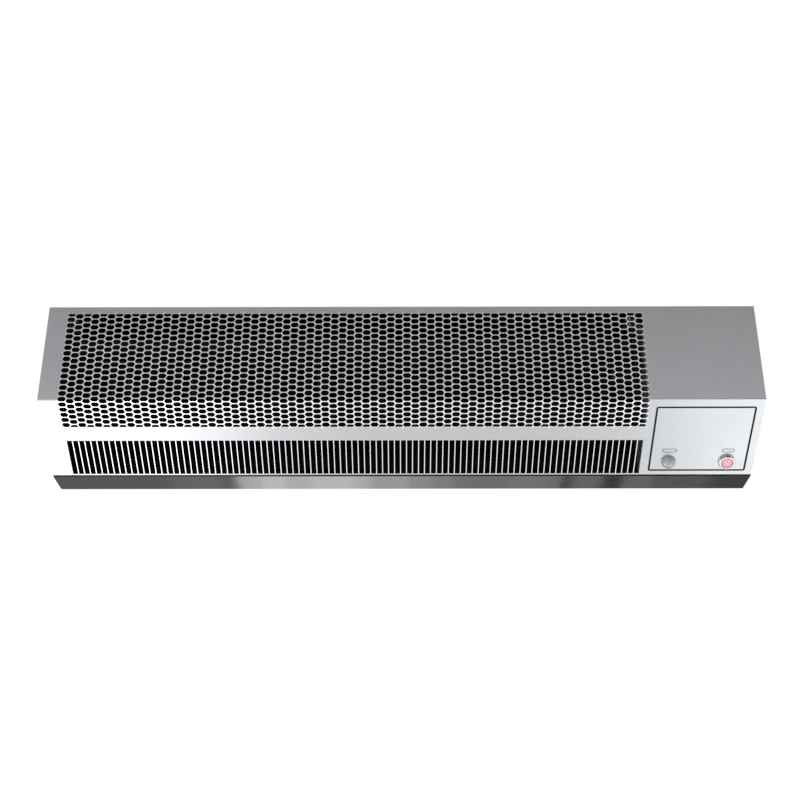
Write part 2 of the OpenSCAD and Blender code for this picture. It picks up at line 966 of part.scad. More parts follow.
lens_flange_t = 1.2;
lens_wall = 1;
// Depth of the sensor body's recess, in which the element sits
sensor_recess = 4;

module sensor_lens() {
    r = dome_d / 2;
    color("lightgray")
        through_slope(half_w - sensor_x, control_v)
            rotate_extrude() {
                intersection() {
                    difference() {
                        circle(r = r);
                        circle(r = r - lens_wall);
                    }
                    square([r, r]);
                }
                translate([r - lens_wall, -sheet_t - lens_flange_t])
                    square([lens_wall, sheet_t + lens_flange_t]);
                translate([r - lens_wall, -sheet_t - lens_flange_t])
                    square([sensor_body_d / 2 - r + lens_wall, lens_flange_t]);
            }
}

module sensor_body() {
    color("white")
        through_slope(half_w - sensor_x, control_v)
            translate([0, 0, -sheet_t - lens_flange_t - sensor_body_l])
                difference() {
                    cylinder(d = sensor_body_d, h = sensor_body_l);
                    translate([0, 0, sensor_body_l - sensor_recess])
                        cylinder(d = dome_d - 2 * lens_wall, h = sensor_recess + past);
                }
}

module sensor_element() {
    can_d = 9;
    can_l = 4.5;
    color("silver")
        through_slope(half_w - sensor_x, control_v)
            translate([0, 0, -sheet_t - lens_flange_t - sensor_recess])
                difference() {
                    cylinder(d = can_d, h = can_l);
                    translate([-can_d / 4, -can_d / 6, can_l - seat_gap])
                        cube([can_d / 2, can_d / 3, can_l]);
                }
}

module sensor_clip() {
    clip_l = 4;
    grip = 6;
    color("dimgray")
        through_slope(half_w - sensor_x, control_v)
            translate([0, 0, -sheet_t - clip_l])
                difference() {
                    cylinder(d = sensor_body_d + 2 * grip, h = clip_l, $fn = 8);
                    translate([0, 0, -past])
                        cylinder(d = sensor_body_d + 2 * push_gap, h = clip_l + 2 * past);
                }
}

cap_gap = 0.3;
cap_depth = 3;
cap_stem_d = 6;
cap_stem_l = 7;
cavity_l = cap_depth + button_travel + 1;
light_t = 0.8;
light_in = cap_d / 2 - 2.2;
light_out = cap_d / 2 - 0.8;
cap_top = bezel_h - 0.4;

module button_body() {
    edge = 0.8;
    back = -sheet_t - button_body_l;
    color("whitesmoke")
        through_slope(half_w - button_x, control_v)
            rotate_extrude()
                polygon([
                    [0, back],
                    [button_body_d / 2, back],
                    [button_body_d / 2, 0],
                    [bezel_d / 2, 0],
                    [bezel_d / 2, bezel_h - edge],
                    [bezel_d / 2 - edge, bezel_h],
                    [cap_d / 2 + cap_gap, bezel_h],
                    [cap_d / 2 + cap_gap, -cavity_l],
                    [cap_stem_d / 2 + cap_gap, -cavity_l],
                    [cap_stem_d / 2 + cap_gap, -cap_depth - cap_stem_l - button_travel - 1],
                    [0, -cap_depth - cap_stem_l - button_travel - 1]
                ]);
}

module button_cap() {
    color("gainsboro")
        through_slope(half_w - button_x, control_v)
            difference() {
                union() {
                    translate([0, 0, -cap_depth])
                        cylinder(d = cap_d, h = cap_depth + cap_top);
                    translate([0, 0, -cap_depth - cap_stem_l])
                        cylinder(d = cap_stem_d, h = cap_stem_l + past);
                }
                translate([0, 0, cap_top - light_t])
                    tube(2 * light_out + 2 * push_gap, 2 * light_in - 2 * push_gap, light_t + past);
            }
}

module button_light() {
    color("salmon")
        through_slope(half_w - button_x, control_v)
            translate([0, 0, cap_top - light_t])
                tube(2 * light_out, 2 * light_in, light_t);
}

module button_nut() {
    nut_l = 4;
    color("silver")
        through_slope(half_w - button_x, control_v)
            translate([0, 0, -sheet_t - nut_l])
                difference() {
                    cylinder(d = button_nut_af / cos(30), h = nut_l, $fn = 6);
                    translate([0, 0, -past])
                        cylinder(d = button_body_d + 2 * push_gap, h = nut_l + 2 * past);
                }
}

module button_terminals() {
    blade = [2.8, 0.5, 6];
    spread = button_body_d / 4;
    color("gold")
        through_slope(half_w - button_x, control_v)
            translate([0, 0, -sheet_t - button_body_l - blade[2]])
                for (x = [-1, 1], y = [-1, 1])
                    translate([x * spread - blade[0] / 2, y * spread - blade[1] / 2, 0])
                        cube(blade);
}

// ---------- electrics ----------

board_z = (-channel_h / 2 - sheet_t + bottom_z + 2 * sheet_t) / 2;
board_back = -sheet_t - standoff_h;
board_front = board_back - board_t;
board_mid = half_w - board_x;
board_corner = 5;
board_screw_d = 3;
// Sizes of what stands on the board: X, Y and Z
relay_size = [19, 16, 15];
transformer_core = [30, 26, 24];
transformer_bobbin = [20, 22, 32];
// Distance between the board's end, the relay and the transformer
relay_edge = 4.5;
relay_gap = 3.5;
relay_at = relay_edge + relay_size[0] / 2 - board_w / 2;
transformer_at = relay_at + relay_size[0] / 2 + relay_gap + transformer_core[0] / 2;

// Children at the board's four fixing holes, their Z pointing to the front
module at_board_corners(y) {
    for (x = [-1, 1], z = [-1, 1])
        translate([board_mid, y, board_z])
            translate([x * (board_w / 2 - board_corner), 0, z * (board_h / 2 - board_corner)])
                rotate([90, 0, 0])
                    children();
}

// A block on the board, placed from the board's middle
module on_board(x, z, size) {
    translate([board_mid + x - size[0] / 2, board_front - size[1], board_z + z - size[2] / 2])
        cube(size);
}

module circuit_board() {
    color("darkgreen")
        difference() {
            translate([board_mid - board_w / 2, board_front, board_z - board_h / 2])
                cube([board_w, board_t, board_h]);
            at_board_corners(board_back + past)
                cylinder(d = board_screw_d + 2 * seat_gap, h = board_t + 2 * past);
        }
}

module board_standoffs() {
    color("gold")
        at_board_corners(-sheet_t)
            difference() {
                cylinder(d = 2 * board_screw_d, h = standoff_h, $fn = 6);
                translate([0, 0, 2])
                    cylinder(d = board_screw_d, h = standoff_h);
            }
}

module board_screws() {
    color("silver")
        at_board_corners(board_front)
            pan_screw(board_screw_d, 2 * board_screw_d, board_screw_d / 2, standoff_h / 2);
}

module relay() {
    up = 8;
    color("royalblue")
        on_board(relay_at, up, relay_size);
}

module transformer() {
    up = 4;
    color("goldenrod") {
        on_board(transformer_at, up, transformer_core);
        on_board(transformer_at, up, transformer_bobbin);
    }
}

module terminal_block() {
    poles = 6;
    pitch = 7.5;
    well_d = 4.5;
    well_depth = 4;
    size = [poles * pitch, 12, 11];
    down = 21;
    first_x = board_mid + transformer_at - (poles - 1) / 2 * pitch;
    color("seagreen")
        difference() {
            on_board(transformer_at, -down, size);
            for (i = [0 : poles - 1])
                translate([first_x + i * pitch, board_front - size[1] - past, board_z - down])
                    rotate([-90, 0, 0])
                        cylinder(d = well_d, h = well_depth + past);
        }
}

module fuse_holder() {
    fuse_d = 5.2;
    fuse_l = 20;
    place = [board_w / 2 - 34, board_h / 2 - 6];
    clip = [4, fuse_d + 2, fuse_d + 2];
    color("lightcyan") {
        translate([board_mid + place[0], board_front - fuse_d, board_z + place[1]])
            rotate([0, 90, 0])
                cylinder(d = fuse_d, h = fuse_l);
        for (x = [0, fuse_l])
            on_board(place[0] + x, place[1], clip);
    }
}

// Distance of the capacitor from the wall, the casing's top and the motor's front end
capacitor_back = 20;
capacitor_drop = 2;
capacitor_start = 10;
capacitor_y = -capacitor_d - capacitor_back;
capacitor_z = casing_top - sheet_t - capacitor_d / 2 - capacitor_drop;
capacitor_x0 = motor_x0 + capacitor_start;

module at_capacitor(x) {
    translate([x, capacitor_y, capacitor_z])
        rotate([90, 0, 90])
            children();
}

module capacitor() {
    tab = [0.8, 6, 8];
    color("aliceblue")
        at_capacitor(capacitor_x0) {
            cylinder(d = capacitor_d, h = capacitor_l);
            for (side = [-1, 1])
                translate([-tab[0] / 2, side * capacitor_d / 5 - tab[1] / 2, capacitor_l])
                    cube(tab);
        }
}

module capacitor_clip() {
    strap = 1;
    clip_l = 14;
    clip_w = capacitor_d + 16;
    foot_z = casing_top - sheet_t - capacitor_z - strap;
    color("silver")
        at_capacitor(capacitor_x0 + (capacitor_l - clip_l) / 2)
            difference() {
                union() {
                    cylinder(d = capacitor_d + 2 * strap + 2 * push_gap, h = clip_l);
                    translate([-clip_w / 2, foot_z, 0])
                        cube([clip_w, strap, clip_l]);
                    translate([-capacitor_d / 4, 0, 0])
                        cube([capacitor_d / 2, foot_z + strap / 2, clip_l]);
                }
                translate([0, 0, -past])
                    cylinder(d = capacitor_d + 2 * push_gap, h = clip_l + 2 * past);
            }
}

module cable_grommet() {
    lip = 2;
    lip_w = 2;
    color("black")
        translate([half_w - sheet_t - lip, -grommet_y, grommet_z])
            rotate([0, 90, 0])
                rotate_extrude()
                    polygon([
                        [grommet_bore / 2, 0],
                        [grommet_hole / 2 + lip_w, 0],
                        [grommet_hole / 2 + lip_w, lip - push_gap],
                        [grommet_hole / 2 - push_gap, lip - push_gap],
                        [grommet_hole / 2 - push_gap, lip + sheet_t + push_gap],
                        [grommet_hole / 2 + lip_w, lip + sheet_t + push_gap],
                        [grommet_hole / 2, 2 * lip + sheet_t],
                        [grommet_bore / 2, 2 * lip + sheet_t]
                    ]);
}

// ---------- fasteners ----------

module cover_screws() {
    color("gainsboro")
        for (x = cover_screw_xs)
            translate([x, cover_screw_y, top_z])
                pan_screw(screw_d, head_d, head_h, screw_l);
}

module end_cap_screws() {
    color("gainsboro")
        for (side = [-1, 1], y = cap_screw_ys)
            translate([side * cap_screw_x, y, casing_top])
                pan_screw(screw_d, head_d, head_h, screw_l);
}

module side_plate_screws() {
    color("gainsboro")
        for (x = plate_screw_xs, y = plate_screw_ys)
            translate([x, y, casing_top])
                pan_screw(screw_d, head_d, head_h, screw_l);
}

module bracket_screws() {
    color("gainsboro")
        on_axis(leg_x + bracket_t)
            for (a = bracket_screw_angles)
                rotate([0, 0, a])
                    translate([bracket_screw_r, 0, 0])
                        pan_screw(screw_d, head_d, head_h, bracket_t + guide_t + 1);
}

// ---------- the nodes ----------

front_cover();
rear_casing();
left_end_cap();
right_end_cap();
wall_rail();
left_side_plate();
right_side_plate();
volute();
tongue();
fan_wheel();
wheel_shaft();
drive_hub();
hub_screw();
bearing_bush();
bearing_rubber();
motor_stator();
motor_windings();
motor_rotor();
motor_shaft();
motor_front_shell();
motor_rear_shell();
motor_bolts();
motor_rubbers();
motor_bracket();
sensor_lens();
sensor_element();
sensor_body();
sensor_clip();
button_body();
button_cap();
button_light();
button_nut();
button_terminals();
circuit_board();
board_standoffs();
board_screws();
relay();
transformer();
terminal_block();
fuse_holder();
capacitor();
capacitor_clip();
cable_grommet();
cover_screws();
end_cap_screws();
side_plate_screws();
bracket_screws();
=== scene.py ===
"""Looks of a lift-door air curtain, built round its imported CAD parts.

Lengths in the dataclasses are millimetres in the part's own frame: X along the casing, the front
faces -Y, Z is up, and the wall is the plane Y = 0. Meshes are built in metres.
"""

import json
import logging
import math
from collections.abc import Sequence
from dataclasses import dataclass, field
from enum import Enum
from typing import ClassVar

import bmesh
import bpy
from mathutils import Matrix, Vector
from mathutils.geometry import delaunay_2d_cdt

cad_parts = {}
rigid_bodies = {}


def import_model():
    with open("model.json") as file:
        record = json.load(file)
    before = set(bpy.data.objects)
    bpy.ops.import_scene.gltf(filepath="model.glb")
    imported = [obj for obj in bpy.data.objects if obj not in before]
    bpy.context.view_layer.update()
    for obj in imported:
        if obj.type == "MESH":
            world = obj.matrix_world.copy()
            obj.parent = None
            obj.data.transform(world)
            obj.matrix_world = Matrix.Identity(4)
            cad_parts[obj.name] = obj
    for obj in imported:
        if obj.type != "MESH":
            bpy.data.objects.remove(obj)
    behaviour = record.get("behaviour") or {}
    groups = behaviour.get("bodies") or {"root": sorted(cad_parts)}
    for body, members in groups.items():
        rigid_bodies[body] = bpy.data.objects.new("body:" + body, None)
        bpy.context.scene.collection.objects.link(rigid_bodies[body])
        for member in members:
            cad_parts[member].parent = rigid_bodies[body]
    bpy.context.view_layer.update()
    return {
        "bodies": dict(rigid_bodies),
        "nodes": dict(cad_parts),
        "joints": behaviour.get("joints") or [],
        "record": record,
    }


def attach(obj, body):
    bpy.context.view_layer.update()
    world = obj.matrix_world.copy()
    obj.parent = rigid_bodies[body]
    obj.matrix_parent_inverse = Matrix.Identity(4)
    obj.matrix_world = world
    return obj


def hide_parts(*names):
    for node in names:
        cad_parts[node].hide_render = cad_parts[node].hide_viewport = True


LOG = logging.getLogger("air_curtain")
MM = 0.001
Point2 = tuple[float, float]
Colour = tuple[float, float, float]
WHITE_LIGHT = (1.0, 1.0, 1.0, 1.0)


# ---------- finishes ----------


class Grain(Enum):
    """The surface patterns that a finish can have, each with its waves for a metre of X, Y and Z."""

    SATIN = (420.0, 900.0, 900.0)
    GROUND = (900.0, 60.0, 60.0)
    SPECKLED = (900.0, 900.0, 900.0)
    CAST = (420.0, 420.0, 420.0)
    SPANGLED = (90.0, 90.0, 90.0)
    WOUND = (1500.0, 40.0, 40.0)
    MOULDED = (1400.0, 1400.0, 1400.0)


@dataclass(frozen=True)
class Finish:
    """One finish, made of nodes: two near colours mixed by the grain, with uneven gloss and relief.

    Args:
        name: The finish's name.
        colour: Its main colour, linear.
        metallic: 1 for bare metal, 0 for the rest.
        roughness: Its mean roughness.
        grain: The pattern of its surface.
        contrast: How far the grain darkens and lightens the colour, as a share.
        relief: Strength of the bump that the grain gives.
        smudge: How far soft patches change the roughness.
        coat: Weight of a clear coat.
        gleam: Level of its specular reflection, where 0.5 is usual.
        see_through: Weight of transmission.
        glow: Strength of its own light, in its own colour.
        painted_shade_zone: Y and Z in millimetres; what lies under both is darkened in the colour as
            painted shade, a shadow line along the seam.
    """

    PATCHES: ClassVar[tuple[float, float, float]] = (14.0, 20.0, 20.0)
    PATCH_DETAIL: ClassVar[float] = 3.0
    PATCH_SPAN: ClassVar[Point2] = (0.3, 0.7)
    GRAIN_DETAIL: ClassVar[float] = 2.0
    WIRE_WAVER: ClassVar[float] = 0.6
    RELIEF_DEPTH: ClassVar[float] = 0.1
    LEAST_ROUGHNESS: ClassVar[float] = 0.03
    # Colour of the painted shadow line along a seam. It stands for shade, not for the metal's own colour.
    PAINTED_SHADE_COLOUR: ClassVar[tuple[float, float, float, float]] = (0.15, 0.15, 0.15, 1.0)

    name: str
    colour: Colour
    metallic: float = 0.0
    roughness: float = 0.5
    grain: Grain = Grain.SPECKLED
    contrast: float = 0.1
    relief: float = 0.05
    smudge: float = 0.06
    coat: float = 0.0
    gleam: float = 0.5
    see_through: float = 0.0
    glow: float = 0.0
    painted_shade_zone: Point2 | None = None

    def shade(self, share: float) -> tuple[float, float, float, float]:
        """The main colour made lighter or darker by a share, with alpha."""
        return tuple(min(1.0, max(0.0, c * (1.0 + share))) for c in self.colour) + (1.0,)

    def build(self) -> bpy.types.Material:
        """Makes the material.

        Returns:
            The node material.
        """
        made = bpy.data.materials.new(self.name)
        made.use_nodes = True
        tree = made.node_tree
        shader = tree.nodes["Principled BSDF"]
        shader.inputs["Metallic"].default_value = self.metallic
        shader.inputs["Coat Weight"].default_value = self.coat
        shader.inputs["Specular IOR Level"].default_value = self.gleam
        shader.inputs["Transmission Weight"].default_value = self.see_through
        if self.glow:
            shader.inputs["Emission Color"].default_value = self.shade(0.0)
            shader.inputs["Emission Strength"].default_value = self.glow
        place = tree.nodes.new("ShaderNodeTexCoord")
        grain = self.pattern(tree, place.outputs["Object"])
        patches = self.noise(tree, place.outputs["Object"], self.PATCHES, self.PATCH_DETAIL)
        mix = tree.nodes.new("ShaderNodeMix")
        mix.data_type = "RGBA"
        mix.inputs["A"].default_value = self.shade(-self.contrast)
        mix.inputs["B"].default_value = self.shade(self.contrast)
        tree.links.new(grain, mix.inputs["Factor"])
        colour = mix.outputs["Result"]
        # Paints a dark shadow line into the colour where the surface lies under both limits.
        if self.painted_shade_zone is not None:
            colour = self.darkened(tree, place.outputs["Object"], colour)
        tree.links.new(colour, shader.inputs["Base Color"])
        gloss = tree.nodes.new("ShaderNodeMapRange")
        gloss.inputs["From Min"].default_value = self.PATCH_SPAN[0]
        gloss.inputs["From Max"].default_value = self.PATCH_SPAN[1]
        gloss.inputs["To Min"].default_value = max(self.LEAST_ROUGHNESS, self.roughness - self.smudge)
        gloss.inputs["To Max"].default_value = min(1.0, self.roughness + self.smudge)
        tree.links.new(patches, gloss.inputs["Value"])
        tree.links.new(gloss.outputs["Result"], shader.inputs["Roughness"])
        bump = tree.nodes.new("ShaderNodeBump")
        bump.inputs["Strength"].default_value = self.relief
        bump.inputs["Distance"].default_value = self.RELIEF_DEPTH * MM
        tree.links.new(grain, bump.inputs["Height"])
        tree.links.new(bump.outputs["Normal"], shader.inputs["Normal"])
        return made

    def pattern(self, tree: bpy.types.NodeTree, place: bpy.types.NodeSocket) -> bpy.types.NodeSocket:
        """Adds the grain's own nodes.

        Args:
            tree: The material's nodes.
            place: The socket with the surface's place.

        Returns:
            The grain's value, from 0 to 1.
        """
        if self.grain is Grain.SPANGLED:
            flakes = tree.nodes.new("ShaderNodeTexVoronoi")
            flakes.inputs["Scale"].default_value = self.grain.value[0]
            tree.links.new(place, flakes.inputs["Vector"])
            grey = tree.nodes.new("ShaderNodeSeparateColor")
            tree.links.new(flakes.outputs["Color"], grey.inputs["Color"])
            return grey.outputs["Red"]
        if self.grain is Grain.WOUND:
            wires = tree.nodes.new("ShaderNodeTexWave")
            wires.bands_direction = "X"
            wires.inputs["Scale"].default_value = self.grain.value[0]
            wires.inputs["Distortion"].default_value = self.WIRE_WAVER
            tree.links.new(place, wires.inputs["Vector"])
            return wires.outputs["Fac"]
        return self.noise(tree, place, self.grain.value, self.GRAIN_DETAIL)

    def darkened(
        self, tree: bpy.types.NodeTree, place: bpy.types.NodeSocket, colour: bpy.types.NodeSocket
    ) -> bpy.types.NodeSocket:
        """Adds the nodes that paint shade: a dark shadow line where the surface lies under both limits.

        Args:
            tree: The material's nodes.
            place: The socket with the surface's place.
            colour: The socket with the colour of the rest.

        Returns:
            The colour with its painted shadow line.
        """
        split = tree.nodes.new("ShaderNodeSeparateXYZ")
        tree.links.new(place, split.inputs["Vector"])
        both = tree.nodes.new("ShaderNodeMath")
        both.operation = "MULTIPLY"
        for i, (axis, limit) in enumerate(zip("YZ", self.painted_shade_zone)):
            under = tree.nodes.new("ShaderNodeMath")
            under.operation = "LESS_THAN"
            under.inputs[1].default_value = limit * MM
            tree.links.new(split.outputs[axis], under.inputs[0])
            tree.links.new(under.outputs["Value"], both.inputs[i])
        mix = tree.nodes.new("ShaderNodeMix")
        mix.data_type = "RGBA"
        mix.inputs["B"].default_value = self.PAINTED_SHADE_COLOUR
        tree.links.new(both.outputs["Value"], mix.inputs["Factor"])
        tree.links.new(colour, mix.inputs["A"])
        return mix.outputs["Result"]

    @staticmethod
    def noise(
        tree: bpy.types.NodeTree,
        place: bpy.types.NodeSocket,
        stretch: Sequence[float],
        detail: float,
    ) -> bpy.types.NodeSocket:
        """Adds noise that is drawn out by its own scale along each axis.

        Args:
            tree: The material's nodes.
            place: The socket with the surface's place.
            stretch: Waves for each metre along X, Y and Z.
            detail: Octaves of the noise.

        Returns:
            The noise's value, from 0 to 1.
        """
        scale = tree.nodes.new("ShaderNodeMapping")
        scale.inputs["Scale"].default_value = stretch
        tree.links.new(place, scale.inputs["Vector"])
        noise = tree.nodes.new("ShaderNodeTexNoise")
        noise.inputs["Scale"].default_value = 1.0
        noise.inputs["Detail"].default_value = detail
        tree.links.new(scale.outputs["Vector"], noise.inputs["Vector"])
        return noise.outputs["Fac"]


class Finishes:
    """The finishes of this object. Each is made once, when a piece first needs it."""

    COVER = Finish("cover_steel", (0.53, 0.547, 0.566), 1.0, 0.3, Grain.SATIN, 0.09, 0.08, 0.03)
    # Painted highlight: the webs between holes and slots get a much lighter colour than the plain sheet of
    # the same steel.
    WEB_HIGHLIGHT = Finish("web_painted_highlight", (0.86, 0.87, 0.89), 1.0, 0.3, Grain.SATIN, 0.05, 0.05, 0.03)
    # Painted shade: near black and hardly glossy, put on the cover's cut walls and inner flange where bare
    # steel stands.
    PAINTED_SHADE_EDGE = Finish(
        "painted_shade_edge", (0.008, 0.008, 0.008), 0.0, 0.9, Grain.SPECKLED, 0.2, 0.05, gleam=0.05
    )
    CASING = Finish(
        "casing_steel",
        (0.5, 0.495, 0.48),
        1.0,
        0.08,
        Grain.SATIN,
        0.12,
        0.03,
        0.02,
        # Painted shade: the casing's lower front edge, along the cover's inner fold, is darkened as a
        # shadow line.
        painted_shade_zone=(-42.8, -120.0),
    )
    CAP = Finish("end_cap_steel", (0.34, 0.345, 0.35), 1.0, 0.3, Grain.GROUND, 0.1, 0.1, 0.06)
    RAIL = Finish("galvanised_rail", (0.42, 0.43, 0.44), 1.0, 0.42, Grain.SPANGLED, 0.12, 0.02, 0.08)
    PLATE = Finish("galvanised_plate", (0.5, 0.51, 0.52), 1.0, 0.45, Grain.SPANGLED, 0.14, 0.02, 0.08)
    # Painted shade: the volute, tongue and fan wheel are near black, so that the inside of the housing
    # looks as dark as its shade.
    GUIDE_SHADE = Finish(
        "guide_painted_shade", (0.005, 0.005, 0.005), 0.0, 0.8, Grain.SPECKLED, 0.2, 0.06, gleam=0.1
    )
    WHEEL_SHADE = Finish(
        "wheel_painted_shade", (0.006, 0.006, 0.006), 0.0, 0.6, Grain.SPECKLED, 0.2, 0.05, gleam=0.15
    )
    SHAFT = Finish("ground_shaft", (0.5, 0.5, 0.51), 1.0, 0.2, Grain.GROUND, 0.08, 0.1)
    HUB = Finish("dark_hub", (0.09, 0.095, 0.1), 1.0, 0.4, Grain.GROUND, 0.15, 0.12)
    BRONZE = Finish("sintered_bronze", (0.42, 0.26, 0.12), 1.0, 0.5, Grain.CAST, 0.2, 0.3)
    RUBBER = Finish("black_rubber", (0.022, 0.022, 0.023), 0.0, 0.7, Grain.MOULDED, 0.2, 0.2)
    SHELL = Finish("cast_aluminium", (0.5, 0.505, 0.51), 1.0, 0.48, Grain.CAST, 0.1, 0.35)
    LAMINATION = Finish("stacked_laminations", (0.12, 0.12, 0.13), 1.0, 0.45, Grain.WOUND, 0.3, 0.4)
    COPPER = Finish("enamelled_copper", (0.5, 0.17, 0.07), 1.0, 0.3, Grain.WOUND, 0.3, 0.6, coat=0.5)
    SCREW = Finish("zinc_screw", (0.58, 0.58, 0.57), 1.0, 0.25, Grain.SPECKLED, 0.08, 0.05)
    BRACKET = Finish("galvanised_bracket", (0.4, 0.41, 0.42), 1.0, 0.42, Grain.SPANGLED, 0.12, 0.02)
    LENS = Finish("milky_lens", (0.45, 0.46, 0.465), 0.5, 0.4, Grain.CAST, 0.15, 0.15, 0.06, coat=0.12)
    WHITE = Finish("white_plastic", (0.68, 0.68, 0.66), 0.0, 0.45, Grain.MOULDED, 0.05, 0.08)
    BLACK = Finish("black_plastic", (0.03, 0.03, 0.03), 0.0, 0.45, Grain.MOULDED, 0.2, 0.1)
    CAN = Finish("sensor_can", (0.55, 0.55, 0.56), 1.0, 0.18, Grain.SPECKLED, 0.05, 0.02)
    BEZEL = Finish("polished_bezel", (0.5, 0.505, 0.52), 1.0, 0.06, Grain.GROUND, 0.05, 0.03, 0.03)
    BUTTON = Finish("polished_button", (0.72, 0.42, 0.46), 1.0, 0.2, Grain.GROUND, 0.05, 0.03, 0.04)
    RING = Finish("lit_ring", (0.4, 0.03, 0.07), 0.0, 0.3, Grain.MOULDED, 0.05, 0.02, glow=0.3)
    BRASS = Finish("tin_brass", (0.6, 0.45, 0.2), 1.0, 0.3, Grain.SPECKLED, 0.1, 0.05)
    BOARD = Finish("solder_mask", (0.02, 0.13, 0.05), 0.0, 0.3, Grain.SPECKLED, 0.25, 0.05, coat=0.4)
    BLUE = Finish("relay_blue", (0.03, 0.09, 0.32), 0.0, 0.35, Grain.MOULDED, 0.08, 0.06)
    CORE = Finish("varnished_core", (0.16, 0.13, 0.09), 0.6, 0.45, Grain.WOUND, 0.25, 0.3)
    TERMINAL = Finish("terminal_green", (0.04, 0.22, 0.08), 0.0, 0.4, Grain.MOULDED, 0.08, 0.06)
    GLASS = Finish(
        "fuse_glass", (0.85, 0.9, 0.92), 0.0, 0.08, Grain.MOULDED, 0.02, 0.0, see_through=0.9
    )
    PRINT = Finish("grey_print", (0.016, 0.017, 0.019), 0.0, 0.7, Grain.MOULDED, 0.1, 0.04, gleam=0.15)
    SYMBOL = Finish("symbol_print", (0.12, 0.02, 0.035), 0.0, 0.4, Grain.MOULDED, 0.05, 0.02, glow=0.1)
    FLOOR = Finish("studio_floor", (0.86, 0.86, 0.86), 0.0, 0.9, Grain.SPECKLED, 0.01, 0.0, gleam=0.0)

    made: ClassVar[dict[str, bpy.types.Material]] = {}

    @classmethod
    def get(cls, finish: Finish) -> bpy.types.Material:
        """The material of a finish, made on its first use."""
        if finish.name not in cls.made:
            cls.made[finish.name] = finish.build()
        return cls.made[finish.name]


def dress(obj: bpy.types.Object, finish: Finish) -> None:
    """Gives a piece one finish in place of any that it has.

    Args:
        obj: The piece.
        finish: Its finish.
    """
    obj.data.materials.clear()
    obj.data.materials.append(Finishes.get(finish))


def dress_nodes(nodes: dict[str, bpy.types.Object], finishes: dict[str, Finish]) -> None:
    """Dresses carried-over CAD nodes and reports each.

    Args:
        nodes: The CAD nodes by name.
        finishes: The finish of each node by name.
    """
    for name, finish in finishes.items():
        dress(nodes[name], finish)
        LOG.info("dressed %s in %s", name, finish.name)


def closed_mesh(name: str, points: Sequence[Vector], faces: Sequence[Sequence[int]]) -> bpy.types.Mesh:
    """Makes a closed mesh whose faces all look outward.

    Args:
        name: The mesh's name.
        points: Its points, in metres.
        faces: The indices of each face's corners.

    Returns:
        The mesh, with its faces in the order given.
    """
    mesh = bpy.data.meshes.new(name)
    mesh.from_pydata(points, [], faces)
    work = bmesh.new()
    work.from_mesh(mesh)
    bmesh.ops.recalc_face_normals(work, faces=work.faces[:])
    work.to_mesh(mesh)
    work.free()
    mesh.update()
    return mesh


def add_piece(
    name: str, mesh: bpy.types.Mesh, body: str, finish: Finish
) -> bpy.types.Object:
    """Puts a new piece in the scene, riding on a body.

    Args:
        name: The piece's name.
        mesh: Its mesh, in the row frame and in metres.
        body: The CAD body that carries it.
        finish: Its finish.

    Returns:
        The new object.
    """
    obj = bpy.data.objects.new(name, mesh)
    bpy.context.scene.collection.objects.link(obj)
    dress(obj, finish)
    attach(obj, body)
    LOG.info("built %s with %d faces", name, len(mesh.polygons))
    return obj


# ---------- casing ----------


@dataclass
class Bend:
    """A rounded fold in the cover's sheet.

    Args:
        at: Place along the unfolded sheet of the sharp corner that the fold rounds.
        turn: Angle that the sheet turns through, in degrees.
        radius: Outer radius of the fold.
    """

    at: float
    turn: float
    radius: float

    @property
    def half(self) -> float:
        """Length of sheet on each side of the corner that the fold takes up."""
        return self.radius * math.tan(math.radians(self.turn) / 2)


